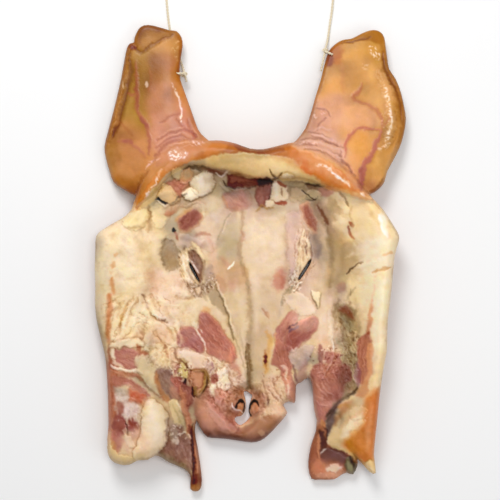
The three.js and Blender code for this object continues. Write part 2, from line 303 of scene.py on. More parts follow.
def signed(X, Y, p):
    """Distance inside a closed outline, negative outside it."""
    d, _ = to_segments(X, Y, p, True)
    return np.where(inside(X, Y, p), d, -d)


def ramp(x, lo, hi):
    t = np.clip((x - lo) / (hi - lo), 0, 1)
    return t * t * (3 - 2 * t)


C = np.empty((PH, PW, 3), np.float32)
C[:] = rgb("#e2cda8")
Z = np.zeros((PH, PW), np.float32)
G = np.full((PH, PW), 0.46, np.float32)
M = np.zeros((PH, PW), np.float32)


def tint(sl, mask, colour):
    C[sl] += (rgb(colour) - C[sl]) * mask[..., None]


def region(text, soft, wob, round_=True, pad=None):
    p = points(text)
    if round_:
        p = catmull(p, 4, True).astype(np.float32)
    sl = window(p, soft + 3 * wob + 1 if pad is None else pad)
    d = signed(UU[sl] + wob * DU[sl], VV[sl] + wob * DV[sl], p)
    return sl, d


def fill(text, colour, a=1.0, soft=1.2, lift=0.0, edge=4.0, wob=1.0, rim=None, gloss=None, round_=True):
    """A patch of colour. lift raises it in millimetres, over edge units from its outline."""
    sl, d = region(text, soft, wob * (1 + 0.25 * min(soft, 6)) if soft >= 1.5 else wob, round_)
    m = ramp(d, -soft, soft) * a
    if soft >= 1.0:
        # flesh is never one even patch: the colour under it comes through
        m = m * (1 - min(0.2, 0.09 * soft) * np.clip(CLOUD[sl] + 0.15, 0, 1))
    tint(sl, m, colour)
    if rim:
        tint(sl, a * 0.5 * np.exp(-((d / 1.3) ** 2)) * (d > -2.4), rim)
    if lift:
        e = np.clip(d / edge, 0, 1)
        Z[sl] += lift * np.sqrt(np.clip(1 - (1 - e) ** 2, 0, 1)) * (d > 0)
    if gloss is not None:
        G[sl] += (gloss - G[sl]) * m
    return sl, d


def stroke(text, colour, w=1.0, a=1.0, soft=0.7, lift=0.0, wob=0.7, w2=None, taper=True, gloss=None, gaps=0.0, seed=3):
    """A line of colour of half-width w, thin at its ends. gaps breaks it up."""
    if wob > 0.35:
        soft, a = 1.35 * soft, 0.88 * a
    p = catmull(points(text), 4).astype(np.float32)
    n = len(p)
    s = np.linspace(0, 1, n)
    width = w + ((w if w2 is None else w2) - w) * s
    if taper:
        width = width * np.clip(np.minimum(s, 1 - s) * 5 + 0.25, 0, 1)
    sl = window(p, max(w, w2 or 0) + soft + 2 * wob + 1)
    X, Y = UU[sl] + wob * DU[sl], VV[sl] + wob * DV[sl]
    d, _ = to_segments(X, Y, p, False, width.astype(np.float32))
    d = d + (0.35 * w + 0.25) * np.clip(THIN[sl], -0.6, 0.9) * (wob > 0.35)
    m = ramp(-d, -soft, soft * 0.6) * a
    if gaps:
        m = m * ramp(vnoise(UU[sl] / 1.6, VV[sl] / 1.6, seed), gaps - 1.1, gaps - 0.6)
    if colour:
        tint(sl, m, colour)
    if lift:
        Z[sl] += lift * ramp(-d, -soft - 0.4, max(w, 0.6) * 0.9)
    if gloss is not None:
        G[sl] += (gloss - G[sl]) * m


def grain(text, angle, dark, light, across=1.1, along=14.0, a=0.5, lift=0.25, seed=5, soft=1.5):
    """Muscle fibres: streaks along an angle in degrees, from +u towards +v."""
    sl, d = region(text, soft, 1.0)
    c, s = math.cos(math.radians(angle)), math.sin(math.radians(angle))
    X, Y = UU[sl] + 1.5 * DU[sl], VV[sl] + 1.5 * DV[sl]
    x, y = X * c + Y * s, -X * s + Y * c
    f = fbm(x / along, y / across, seed, 3, 0.7)
    m = ramp(d, -soft, soft)
    tint(sl, m * np.clip(f, 0, 1) * a * 1.1, light)
    tint(sl, m * np.clip(-f, 0, 1) * a * 1.0, dark)
    Z[sl] += 0.8 * lift * f * m
    M[sl] = np.maximum(M[sl], m)


def flecks(text, colour, count, size=(0.4, 1.0), a=0.9, seed=1, lift=0.0, stretch=1.6, angle=None):
    """Small uneven specks inside an outline."""
    sl, d = region(text, 1.5, 1.0)
    rng = np.random.default_rng(seed)
    turn = rng.uniform(0, np.pi) if angle is None else math.radians(angle)
    c, s = math.cos(turn), math.sin(turn)
    X, Y = UU[sl] + 0.8 * DU[sl], VV[sl] + 0.8 * DV[sl]
    x, y = X * c + Y * s, -X * s + Y * c
    r = 0.6 * size[0] + 0.4 * size[1]
    f = fbm(x / (2.3 * r * stretch), y / (2.3 * r), 400 + seed, 2, 0.6)
    area = (d > 0).sum() / SCALE**2
    share = min(0.45, count * 3.6 * r * r * stretch / max(area, 1.0))
    cut = np.quantile(f[d > 0], 1 - share) if (d > 0).any() else 1.0
    m = ramp(f, cut - 0.05, cut + 0.32) * ramp(d, -1.0, 1.5)
    tint(sl, m * a, colour)
    if lift:
        Z[sl] += lift * m


def mottle(text, dark, light, scale=4.0, a=0.25, seed=9, lift=0.0, soft=2.0, stretch=1.0, angle=0.0, bias=0.0):
    """Cloudy variation inside an outline."""
    sl, d = region(text, soft, 1.0)
    c, s = math.cos(math.radians(angle)), math.sin(math.radians(angle))
    x, y = UU[sl] * c + VV[sl] * s, -UU[sl] * s + VV[sl] * c
    f = fbm(x / (scale * stretch), y / scale, seed, 4, 0.6) + bias
    m = ramp(d, -soft, soft)
    tint(sl, m * np.clip(f, 0, 1) * a * 1.15, light)
    tint(sl, m * np.clip(-f, 0, 1) * a * 1.05, dark)
    if lift:
        Z[sl] += lift * f * m


def folds(text, angle=0.0, across=4.0, along=9.0, depth=0.7, dark="#b07f52", light="#fdf0d4", a=0.5, width=0.09, seed=5, soft=2.5):
    """Soft lobes with narrow creases between them: painted light on the lobes, and brown in the creases that is both
    painted shade and the tissue's own colour.
    """
    sl, d = region(text, soft, 1.0)
    c, s = math.cos(math.radians(angle)), math.sin(math.radians(angle))
    X, Y = UU[sl] + 2.2 * DU[sl], VV[sl] + 2.2 * DV[sl]
    x, y = X * c + Y * s, -X * s + Y * c
    n = fbm(x / along, y / across, seed, 3, 0.5)
    q = np.abs(n)
    crease = np.exp(-((q / width) ** 2))
    puff = np.sqrt(np.clip(q * 1.6, 0, 1))
    m = ramp(d, -soft, soft)
    tint(sl, m * np.clip(puff - 0.55, 0, 1) * a * 1.3, light)
    tint(sl, m * crease * a * np.clip(0.75 + CLOUD[sl], 0.15, 1), dark)
    Z[sl] += m * depth * (puff - 0.6 * crease)


def film(text, angle=0.0, colour="#f3e4d4", a=0.5, across=2.0, along=16.0, seed=5, soft=2.0, lift=0.15, cut=0.1):
    """A thin pale skin over meat or fat, in torn streaks."""
    sl, d = region(text, soft, 1.0)
    c, s = math.cos(math.radians(angle)), math.sin(math.radians(angle))
    X, Y = UU[sl] + 1.6 * DU[sl], VV[sl] + 1.6 * DV[sl]
    x, y = X * c + Y * s, -X * s + Y * c
    f = ramp(fbm(x / along, y / across, seed, 4, 0.62), cut, cut + 0.55) * ramp(d, -soft, soft)
    tint(sl, f * a, colour)
    Z[sl] += lift * f
    G[sl] += (0.62 - G[sl]) * f * 0.5


def shade(text, amount, soft=7.0, warm=(0.8, 1.0, 1.2), wob=2.0, lift=0.0):
    """Paints shade over an area, darker towards brown, or paints light over it where amount is below nothing."""
    sl, d = region(text, soft, wob)
    m = ramp(d, -soft, soft) * (1 - 0.25 * np.clip(CLOUD[sl], -0.5, 0.8))
    if amount >= 0:
        C[sl] *= 1 - amount * m[..., None] * np.array(warm, np.float32)
    else:
        C[sl] += (np.array([1.0, 0.965, 0.90], np.float32) - C[sl]) * (-amount * m)[..., None]
    if lift:
        Z[sl] += lift * m


def shade_line(text, amount, w=1.5, soft=2.5, w2=None, warm=(0.8, 1.0, 1.2), lift=0.0, wob=1.0):
    """Painted shade along a soft run, as in a valley, or painted light along a ridge."""
    p = catmull(points(text), 4).astype(np.float32)
    t = np.linspace(0, 1, len(p))
    width = (w + ((w if w2 is None else w2) - w) * t) * np.clip(np.minimum(t, 1 - t) * 6 + 0.15, 0, 1)
    sl = window(p, max(w, w2 or 0) + soft + 2 * wob + 1)
    d, _ = to_segments(UU[sl] + wob * DU[sl], VV[sl] + wob * DV[sl], p, False, width.astype(np.float32))
    m = ramp(-d, -soft, soft * 0.5)
    if amount >= 0:
        C[sl] *= 1 - amount * m[..., None] * np.array(warm, np.float32)
    else:
        C[sl] += (np.array([1.0, 0.97, 0.90], np.float32) - C[sl]) * (-amount * m)[..., None]
    if lift:
        Z[sl] += lift * m


def blur(A, radius):
    """Box blur, twice, over radius drawing units."""
    r = max(1, int(radius * SCALE))
    for _ in range(2):
        for axis in (0, 1):
            pad = [(0, 0)] * A.ndim
            pad[axis] = (r + 1, r)
            c = np.cumsum(np.pad(A, pad, mode="edge"), axis=axis, dtype=np.float64)
            n = A.shape[axis]
            hi = np.take(c, np.arange(2 * r + 1, 2 * r + 1 + n), axis=axis)
            lo = np.take(c, np.arange(0, n), axis=axis)
            A = ((hi - lo) / (2 * r + 1)).astype(np.float32)
    return A


def melt(text, radius, a=1.0, soft=3.0):
    """Lets the patches inside an outline run into each other."""
    sl, d = region(text, soft, 0.5)
    m = (ramp(d, -0.5, soft) * a)[..., None]
    C[sl] += (blur(C[sl], radius) - C[sl]) * m


def form_shade(u, v, ru, rv, amount, angle=0.0, warm=(0.92, 1.0, 1.08)):
    """Painted shade on one soft round form, darker where it turns away, or painted light on it where amount is below
    nothing.
    """
    c, s = math.cos(math.radians(angle)), math.sin(math.radians(angle))
    reach = 2.6 * max(ru, rv)
    sl = window(np.array([[u - reach, v - reach], [u + reach, v + reach]], np.float32), 0)
    x, y = UU[sl] + 1.6 * DU[sl] - u, VV[sl] + 1.6 * DV[sl] - v
    q = ((x * c + y * s) / ru) ** 2 + ((-x * s + y * c) / rv) ** 2
    m = np.exp(-q)[..., None]
    if amount >= 0:
        C[sl] *= 1 - amount * m * np.array(warm, np.float32)
    else:
        top = np.maximum(np.minimum(C[sl] * 1.35, np.array([1.0, 0.945, 0.80], np.float32)), C[sl])
        C[sl] += (top - C[sl]) * np.clip(-3.0 * amount * m, 0, 1)


WHOLE_FACE = "134,205 140,180 163,156 198,141 250,148 296,142 340,164 372,197 399,236 392,278 387,336 380,392 374,455 376,474 308,480 296,400 252,443 200,430 202,490 190,489 162,458 119,465 107,440 107,392 95,306 95,240"

# -- fat and fascia of the face -------------------------------------------------------
fill("92,232 130,208 150,200 160,205 164,236 160,262 163,285 150,300 120,312 92,315", "#edd9b0", soft=6)
fill("92,240 105,238 109,262 107,300 104,330 104,345 98,335 92,300", "#cdc2a2", soft=3, a=0.9)
fill("160,205 182,196 215,196 216,235 200,245 180,245 168,238", "#d6c4a4", soft=6)
fill("150,268 180,270 196,292 190,312 165,330 150,312 146,290", "#edd0b2", soft=7)
fill("105,300 140,296 152,318 172,330 172,350 140,345 104,345", "#ead7aa", soft=6)
fill("196,205 222,208 232,214 224,228 219,245 205,246 192,236 196,222", "#e2ccb4", soft=4)
fill("230,214 244,214 240,238 240,256 244,270 238,268 224,268 218,258 217,245 222,230", "#c9b999", soft=2.5)
fill("214,262 240,262 247,278 246,292 228,296 214,288", "#d3b08c", soft=5)
fill("214,286 246,290 248,345 236,352 226,322 216,300", "#dcc7a2", soft=4)
fill("246,205 286,205 288,235 288,275 282,300 276,330 262,345 249,340 250,290 244,262 242,230", "#e3cdaf", soft=5)
fill("250,216 272,214 276,236 262,244 250,236", "#eddcbe", soft=8, a=0.8)
fill("252,288 284,296 276,330 254,340", "#dac4a2", soft=7, a=0.8)
fill("250,330 268,330 268,372 262,392 250,388", "#d6bf9c", soft=4)
fill("288,205 322,200 336,226 330,262 318,286 322,300 310,316 292,312 284,292 288,262 286,232", "#d8bda4", soft=5)
fill("322,196 345,192 372,202 396,236 392,270 372,276 348,262 340,236 330,220", "#f0ddb2", soft=6)
# painted shade down the hollow right of the eye
fill("326,232 350,236 362,250 360,268 348,278 340,292 336,312 326,300 322,262", "#c3a982", soft=7)
fill("346,276 372,274 390,276 387,336 384,350 368,345 352,310", "#f3e1b2", soft=5)
fill("326,290 342,288 350,304 345,318 340,350 334,380 322,350 318,318", "#e6cfb4", soft=5)
fill("180,288 214,290 222,310 214,318 200,322 186,326 176,312", "#e7d5b0", soft=5)
fill("170,345 236,356 246,350 246,388 222,408 198,392 180,380", "#e4cdb0", soft=5)

# under the poll: painted shade below the overhanging rim, then paler bits
fill("165,166 205,164 232,170 262,178 300,180 330,186 322,202 290,206 250,206 215,200 180,200 160,204 152,200", "#b7a78c", soft=4)
fill("200,196 226,196 226,214 205,212", "#ded0b4", soft=5)
fill("222,206 258,204 262,222 232,222", "#e2cbb4", soft=6)
fill("268,184 290,182 300,200 300,212 268,214", "#d8c8ae", soft=3)

melt(WHOLE_FACE, 3.2)

# central groove and panel edges, with painted shade in the groove
stroke("243,212 241,235 239.5,255 243,268 248,285 249,310 250,330 249,350 250,380 247,391", "#b39c78", w=0.3, w2=1.2, a=0.32, soft=2.2, lift=-0.4)
stroke("241,262 246,276 248.5,292", "#9c8c66", w=0.8, a=0.5, soft=1.2)
stroke("251,300 252.5,330 252,352 254,385", "#b7a37f", w=2.2, a=0.55, soft=2.5)
stroke("248,346 249,362 249.4,378 249,391", "#957a56", w=0.8, w2=2.6, a=0.85, soft=1.8, lift=-1.5, taper=False)
stroke("246.6,352 246.8,368 246.4,384", "#6f5538", w=0.4, a=0.7, soft=0.9)
stroke("231,213 225,222 221,230 218,240", "#9a8562", w=0.3, a=0.7, soft=0.9, lift=0.5)
stroke("232,214 226,224 222,232", "#f2e2c4", w=0.7, a=0.7, soft=0.7)
stroke("219,240 217,252 220,258 227,265", "#bca88a", w=0.8, a=0.5, soft=1.5)
stroke("222,258 226,263 229,267", "#c98e72", w=1.8, a=0.5, soft=2)
stroke("240,232 243,236 242,241", "#c58a74", w=1.2, a=0.5, soft=1.5)
fill("228,268 238,264 247,270 246,282 236,285 228,280", "#c8a47c", a=0.75, soft=2)
fill("213,276 220,276 226,288 222,292 216,286", "#c89a78", a=0.7, soft=2)
fill("226,282 238,280 240,286 231,292", "#cf9f84", a=0.6, soft=3)
# painted highlight on the raised edge
stroke("228.5,269.5 231,265.5 234.5,261.5", "#fffaf0", w=0.9, a=1.0, soft=0.5, wob=0.3, gloss=0.9)
# painted grey-green shade beside the left panel's raised edge
fill("205,286 213,282 219,292 226,308 232,326 236,340 229,326 219,310 209,298", "#b39a76", a=0.9, soft=1.8)
stroke("213,280 218,290 224,305 230,325 234,340", "#84704e", w=0.35, w2=0.6, a=0.75, soft=0.9, lift=-0.8)
stroke("215,279 220,289 226,304 232,324 236,338", "#efe0c0", w=0.8, a=0.6, soft=0.9, lift=0.6)
stroke("232,330 238,346 243,362 246,382", "#a88f6c", w=0.6, a=0.6, soft=0.8)
stroke("234,322 241,342 246,362", "#c9b08c", w=0.6, a=0.6, soft=1.0)
stroke("240,330 244,350 247,368", "#b59c78", w=0.5, a=0.5, soft=0.8)

# -- left cheek --------------------------------------------------------------------------
mottle("98,236 160,206 165,300 120,312 98,312", "#d9c08e", "#f8e9c4", scale=11, a=0.35, seed=31, lift=0.5, soft=4)
fill("124,212 132,209 146,208 149,215 146,224 136,231 124,226", "#f1dfa8", soft=2, lift=1.6)
stroke("112,224 118,219 126,214 132,208", "#d9b06a", w=1.2, a=0.8, soft=1.2)
stroke("128,228 138,227 146,222", "#c9a468", w=1.0, a=0.6, soft=1.4, lift=-0.6)
stroke("149,205 149,216 148,232", "#d0a876", w=1.6, a=0.7, soft=1.5, lift=-0.5)
stroke("138,236 143,226 146,215", "#c8a873", w=0.8, a=0.5, soft=1.2)
fill("152,206 168,203 170,214 166,226 155,228 151,218", "#ecd9ab", soft=2.5, lift=1.0)
fill("136,240 146,236 152,250 147,268 138,262", "#e2c796", soft=4, a=0.6)
fill("108,242 124,238 134,252 124,262 110,258", "#f3e2b6", soft=5, a=0.8)
fill("116,266 140,268 140,282 118,284", "#f4e4ba", soft=6, a=0.8)
fill("148,272 160,272 160,290 150,295", "#e4bd96", soft=5, a=0.7)
fill("114,253.5 117,252.5 118.5,255 116.5,257 114.5,256.5", "#dd9a50", a=0.9, soft=1)
fill("111,261 114.5,261.5 115,265 112,268 110.5,265", "#d79a62", a=0.85, soft=1.2)
stroke("110.5,270 110.8,274", "#dba878", w=0.8, a=0.6, soft=0.9)
stroke("111,278 111.5,284 113,291.5 113.6,294", "#cf7f44", w=1.1, a=0.95, soft=0.8, taper=False)
stroke("109.3,296 109.5,303 109.8,311 108.6,320 107.8,330 107.6,336 109,341", "#b9582c", w=1.7, a=0.95, soft=0.9, taper=False, wob=0.9)
stroke("110,300 110,312 108.5,324", "#cf7a48", w=0.7, a=0.6, soft=0.8)
stroke("96,312 98,326 101,340 104,356 106,372 107.5,392 108,418", "#a39270", w=2.2, a=0.7, soft=2)
# folds of the cheek fat: painted shade in the creases and painted highlights along the ridges
for line in (
    "143,296 146,304 149,311 155,318 163,321 168,322",
    "128,304 125,314 121,324 119,334",
    "137,300 131,312 126,326",
    "146,320 143,330 141,342",
    "150,296 156,306 160,314",
    "165,325 170,332 174,340",
    "155,332 160,340 166,352",
    "112,300 120,306 118,318",
    "176,296 184,299 194,297",
):
    stroke(line, "#cda878", w=0.4, a=0.55, soft=1.9, lift=-0.9)
folds("104,303 122,298 142,297 146,310 140,326 130,342 106,341", angle=122, across=7.5, along=24, depth=0.75, dark="#cfa977", light="#fff3d6", a=0.42, width=0.16, seed=501)
folds("144,298 160,295 176,304 181,322 177,345 146,345 137,330", angle=52, across=7.5, along=21, depth=0.75, dark="#c79c78", light="#fff2dc", a=0.42, width=0.16, seed=503)
melt("100,282 146,284 178,300 182,324 176,346 146,347 104,342", 1.1)
stroke("142.4,295 145,301 147,307 152,314 156,317.6", "#8d6a4e", w=0.25, a=0.8, soft=0.8, lift=-0.6)
stroke("155,318.6 160,320 164,319.6 168.6,322.4", "#7d5844", w=0.35, a=0.8, soft=0.8, lift=-0.6)
stroke("144,301 150,311 158,317 166,318", "#fffaf0", w=0.5, a=0.7, soft=0.8, lift=0.5)
stroke("126,306 122,318 120,326", "#d09858", w=1.2, a=0.6, soft=1.2)
for line in (
    "147,299 151,308 156,315",
    "158,312 166,318 172,328",
    "132,303 127,315 123,328",
    "140,302 137,314 132,330",
    "150,324 150,334 147,344",
    "160,300 168,304 178,306",
    "112,338 124,340 134,336",
    "170,310 176,322 178,334",
):
    stroke(line, "#fbefd2", w=1.0, a=0.6, soft=2.0, lift=0.9)
fill("150,326 168,330 172,342 160,346 148,342", "#e2b794", a=0.55, soft=3)
fill("134,334 142,332 142,344 130,346", "#ddb088", a=0.5, soft=2)
stroke("172,288 183,291 188,296", "#f6e6c2", w=2.0, a=0.7, soft=1.6, lift=0.6)
stroke("172,297 182,299 190,298", "#c9a582", w=0.7, a=0.6, soft=0.8)
mottle("146,270 200,292 176,340 146,318", "#dfb795", "#f8e6cc", scale=7, a=0.3, seed=37, lift=0.4, soft=3)
# painted shade in the hollow behind the cheek
fill("163,238 171,238 177,246 182,256 180,268 170,272 161,264 161,252", "#b6a183", soft=3.4, lift=-2.5, edge=8)
fill("168,250 176,254 178,264 170,268 165,259", "#b0906a", a=0.8, soft=3)
fill("165,236 174,238 172,246 164,246", "#bfae92", a=0.8, soft=3)
fill("166,216 178,214 178,232 168,236", "#c6b798", a=0.85, soft=3)
stroke("163,205 166,215 170,225", "#c2a888", w=1.2, a=0.4, soft=2)
fill("172.2,230 173.6,227.8 175.4,230.4 174.6,232.4 172.4,232", "#1c0f0a", soft=0.6, wob=0.3)
stroke("174.5,232 175.8,236 177,240.5", "#a35f48", w=0.9, a=0.9, soft=0.7)
stroke("170,234 175,235 180,232", "#c9a896", w=1.0, a=0.6, soft=1.2)
fill("180,233 196,238 210,240 212,252 196,246 184,250 178,244", "#d9bfb0", a=0.8, soft=2.5, lift=0.8)
stroke("182,246 190,250 200,247 206,240", "#b4937c", w=1.1, a=0.5, soft=1.6)
stroke("195,236 203,233.5 211,235", "#ad6c52", w=1.2, a=0.65, soft=1.2)
stroke("206,233 209,240 210,243", "#cf9880", w=1.3, a=0.5, soft=1.5)
stroke("210,212 216,220 212,228", "#eadccb", w=1.8, a=0.5, soft=2)
fill("208,246 216,246 218,262 208,266", "#e3bfa2", a=0.7, soft=3)
# left eye: crust, slit and crumbs; the slit is painted black as shadow, with a painted highlight along it
fill("181,252 190,249 193,262 191,276 188,284 182,272 180,262", "#ecd2a6", soft=1.5, lift=1.2)
fill("182,256 188,253 190,264 193,274 195,282 190,284 185,275 182,266", "#fbeccb", soft=1.2, a=0.85, lift=0.8)
mottle("180,250 193,250 196,284 190,290 181,276", "#ab8259", "#fff6dc", scale=2.0, a=0.4, seed=41, lift=0.9, soft=1.5, stretch=2.6, angle=66)
fill("190,251 197,252 202,262 203,276 199.6,283 196,276 193,268 190,260", "#96705c", soft=1.4, lift=-1.6, edge=3)
mottle("189,250 200,252 204,270 199,284 190,266", "#4c3328", "#c6a58a", scale=1.6, a=0.45, seed=43, soft=1.2, stretch=2, angle=65)
stroke("192,243 197,247 201,254 204,260", "#f0dcae", w=1.5, a=0.95, soft=0.8, lift=1.6)
stroke("204,260 203.6,268 202.5,279", "#a98360", w=1.1, a=0.85, soft=0.8)
stroke("189.6,262.6 191.4,267 194.8,273 198.4,280.4", "#0a0504", w=0.9, a=1.0, soft=0.45, wob=0.15)
stroke("191.0,260.6 193.4,264.6 196.4,269 198.6,273", "#f6f0e8", w=0.8, a=0.9, soft=0.6, wob=0.3)
stroke("187,268 190,275 194,281", "#8f6a4c", w=0.8, a=0.6, soft=1.2)
fill("186,282 200,283 212,284 214,290 204,296 192,296 187,290", "#b48f6e", soft=2.5, a=0.7)
flecks("188,282 206,280 214,288 206,296 194,297 188,290", "#8a6244", 24, (0.4, 1.1), 0.6, 51, -0.5, stretch=1.8, angle=40)
flecks("186,280 200,284 214,284 212,292 198,298 188,292", "#efdfc6", 36, (0.4, 1.0), 0.75, 53, 0.9, stretch=2.0, angle=50)
fill("196,287 200,287 201,294 197,296 194,292", "#e2c9a4", soft=1, lift=1.2, rim="#8f6a4c")
fill("206,266 213,266 214,279 208,283 204,276", "#a88874", a=0.6, soft=2)
flecks("205,276 214,272 217,282 208,290", "#77594a", 12, (0.4, 0.9), 0.55, 55)
flecks("205,276 214,272 217,282 208,290", "#f4ebdf", 18, (0.3, 0.8), 0.8, 57, 0.4)
stroke("203,290 206,298 208,302", "#a58e6b", w=1.0, a=0.5, soft=1.2)

# muscles of the upper left
fill("179,216 188,209.6 199,204.8 203.4,208 202.4,220 193,230.6 184,233.6 178.6,229 176.8,221", "#c99a78", soft=1.6, lift=0.8)
fill("181,217.6 188,212 198,207.4 201,210 199.6,219 191.4,227.6 184.4,230.4 180.8,227 179.4,221.6", "#8f4d40", soft=2.6, lift=0.5)
grain("180,217 199,206 202,209 201,219 184,232 178,221", 128, "#6f342b", "#b4655a", a=0.45, seed=61)
stroke("176,221 183,213 194,207", "#d9a060", w=1.4, a=0.55, soft=1.5)
fill("163,216 168,209 178,204 177,209 170,217", "#c07c58", soft=1.4, lift=0.8)
fill("178,207 184,202 192,202 196,204 186,208", "#ab5f4b", soft=1.2, lift=0.6)
stroke("184,207 192,204 200,202.5 204,206 204,216", "#f1e6d4", w=0.9, a=0.85, soft=0.8, lift=0.8)

# -- muscles at the middle left ------------------------------------------------------------
fill("179,330 190,327 197,331 201,338 204,347 203,352 198,352 188,347 179,347 177,340", "#a3594f", soft=1.0, lift=1.4, rim="#d49a80")
grain("179,330 190,327 197,331 204,347 198,352 179,347", 35, "#7e3f3e", "#bf7a72", a=0.5, seed=63)
fill("183,330 194,330 198,340 190,342", "#a8746c", a=0.55, soft=2.5)
fill("197,326 199,318 203,312.5 208,313 215,320 225,331 232,343 237,356 234,362 226,362 214,356 206,350 203,342 196,332", "#ac5d50", soft=1.0, lift=1.6, rim="#d39b7c")
grain("199,318 208,313 225,331 237,356 226,362 206,350", 52, "#86443c", "#c97e6c", a=0.5, seed=65, across=1.0)
fill("203,314 208,316 213,322 208,324 202,320", "#96544a", a=0.6, soft=2)
fill("212,350 226,352 236,362 240,376 232,382 228,366", "#c27a66", a=0.7, soft=2.5)
stroke("203,311 206,309 210,311", "#e2ad6c", w=2.0, a=0.7, soft=1.8)
film("180,332 192,328 201,340 202,350 182,348", angle=40, colour="#d3a19a", a=0.4, across=2.2, along=12, seed=511)
film("199,320 206,315 222,330 234,354 224,360 206,346", angle=58, colour="#d9a190", a=0.4, across=2.0, along=13, seed=513)
stroke("196,330 200,337 204,343 206,352", "#f7eade", w=0.7, a=0.95, soft=0.5, lift=0.8, wob=0.5)
stroke("199,329 203,334", "#f5e6da", w=0.6, a=0.8, soft=0.5)
stroke("194,322 197,330", "#f6ecd6", w=1.8, a=0.8, soft=1.2, lift=0.8)
stroke("177,328 181,338 178,350", "#f3e3c4", w=1.4, a=0.6, soft=1.4)

# -- centre low: torn fat and meat left of the nose ----------------------------------------------
fill("180,350 204,354 208,360 204,368 192,368 184,360", "#ecd9c4", soft=2.5, lift=0.9)
fill("190,356 202,356 206,366 194,366", "#e0c4a8", a=0.7, soft=2)
fill("206,356 222,360 234,370 240,380 240,392 224,408 212,404 208,390 212,376 208,366", "#e2c8ac", soft=2)
mottle("206,356 240,372 242,394 222,410 208,398", "#a46a54", "#fbeed6", scale=3.2, a=0.42, seed=67, lift=1.0)
folds("206,358 222,361 236,372 241,392 226,408 212,404 208,388", angle=58, across=3.6, along=9, depth=0.7, dark="#b78366", light="#fff4de", a=0.42, width=0.16, seed=507)
melt("206,356 222,360 238,372 242,394 226,410 210,404", 0.9)
fill("218,370 226,368 230,378 230,388 224,391 217,386", "#f6e8cc", soft=1.2, lift=2.6, edge=5)
fill("221,391 226,391 229,396 226,400 221,398", "#f9ebcd", soft=1.1, lift=2.0)
fill("211,383 215,384 219,393 223,400 221,406 216,405 213,397 210,390", "#f6e9d0", soft=1.1, lift=2.4, edge=4)
fill("210,376 217,374 218,381 213,384 210,381", "#a4564c", a=0.8, soft=1.2)
fill("205,362 213,361 216,368 211,374 206,370", "#d0b4a2", a=0.85, soft=1.6, lift=0.8)
stroke("211,362 212,367 210,372", "#8f5a5c", w=0.7, a=0.7, soft=0.7)
fill("180,362 184,359 188,366 190,374 188,379 183,377 179,372", "#cdb878", soft=1.2, lift=1.8, rim="#8f6a40")
stroke("179,358 184,363 190,370 191,376", "#6e3f2a", w=1.0, a=0.85, soft=0.8, lift=-1.0)
fill("174,365 180,364 178,372 175,374", "#a2564c", a=0.75, soft=1)
fill("175,376 182,377 180,383 175,384", "#7b2f28", a=0.85, soft=1)
fill("184.5,378.5 187.5,380 187,385 184,384.5", "#40120e", soft=0.8, lift=-1.5)
flecks("170,362 192,362 192,384 172,382", "#f3e6cc", 34, (0.4, 1.3), 0.8, 71, 1.0)
flecks("170,364 192,364 190,384 174,382", "#7b3a30", 26, (0.4, 1.2), 0.7, 73, -0.8)
fill("190,372 200,369 203,378 199,388 195,390 193,382", "#d49a7c", soft=1.2, lift=1.6, rim="#9c5a44")
stroke("190,369 197,371 203,369 206,372 206,380 204,389 200,395 195,393 193,389", "#8a5a30", w=1.5, a=0.9, soft=0.9, lift=1.8)
stroke("194,388 197,391 202,388 205,379", "#c99660", w=0.8, a=0.8, soft=0.8, lift=0.8)
stroke("191.5,386 193,391 196.5,396 201,395.5", "#41200f", w=0.8, a=0.9, soft=0.7, lift=-0.8)
fill("196,396 208,386 212,398 222,412 234,426 244,432 240,441 208,438 200,428 194,412", "#bf8770", soft=2.0)

# -- lower left flap ------------------------------------------------------------------------
fill("109,345 116,346 118,362 118,380 117,400 118,422 116,445 110,460 108,440 108,400 107,370", "#ad5f46", soft=1.4)
grain("109,345 117,346 118,400 117,430 110,440 108,400", 90, "#8a3f2c", "#cf8a6a", a=0.4, seed=75)
fill("112,342 122,339 138,338 146,344 140,348 120,348 110,348", "#efe0bb", soft=1.6, lift=1.6, rim="#b98e66")
fill("110,349 115,348 116,357 113,360 109,356", "#f0e2c0", soft=1.0, lift=1.4, rim="#a8744e")
fill("146,344 150,346 150,352 144,350", "#f3e4c4", soft=1.0, lift=1.4)
stroke("137,345 140,352 146,354 152,352", "#b05a3c", w=1.6, a=0.85, soft=1.2, lift=-0.8)
fill("115,352 122,349 134,350 140,356 138,364 130,369 120,366 115,359", "#b26c5e", soft=1.6, lift=0.8)
grain("115,352 134,350 140,356 130,369 115,359", 20, "#96504a", "#dba090", a=0.5, seed=77)
stroke("111,365 118,369 128,370.5 138,370 143,374", "#f3e6cc", w=1.4, a=0.95, soft=0.8, lift=1.4)
stroke("112,360 117,364 123,367", "#efdfc0", w=1.2, a=0.8, soft=0.8, lift=0.8)
stroke("111,370 120,373.5 132,374 141,378 150,386 160,395 169,404", "#b0694a", w=2.4, a=0.95, soft=1.2, lift=1.0, w2=1.2)
stroke("113,371 126,375 136,376", "#c98a70", w=0.8, a=0.5, soft=0.8)
fill("112,376 124,377 136,382 146,390 150,397 140,394 128,386 114,384", "#b4705c", soft=1.6)
grain("112,376 136,380 150,396 128,388 114,384", 25, "#9a4c40", "#dca090", a=0.4, seed=79)
fill("136,356 146,360 158,366 160,376 158,386 162,396 150,388 142,378 136,368", "#d9c79e", soft=2.2, lift=1.2)
stroke("146,358 154,364 160,370", "#b39a6c", w=1.0, a=0.5, soft=1.5)
fill("150,352 168,350 172,362 164,368 152,360", "#e9d4a8", soft=2, lift=1.0)
fill("168,350 178,352 180,362 172,366", "#e7c4a4", a=0.8, soft=2)
mottle("148,344 182,346 180,366 160,372 146,360", "#b9865c", "#faeccb", scale=3.5, a=0.35, seed=81, lift=0.8)
stroke("174,348 176,356 180,362", "#8d5a3c", w=0.8, a=0.7, soft=0.8, lift=-0.7)
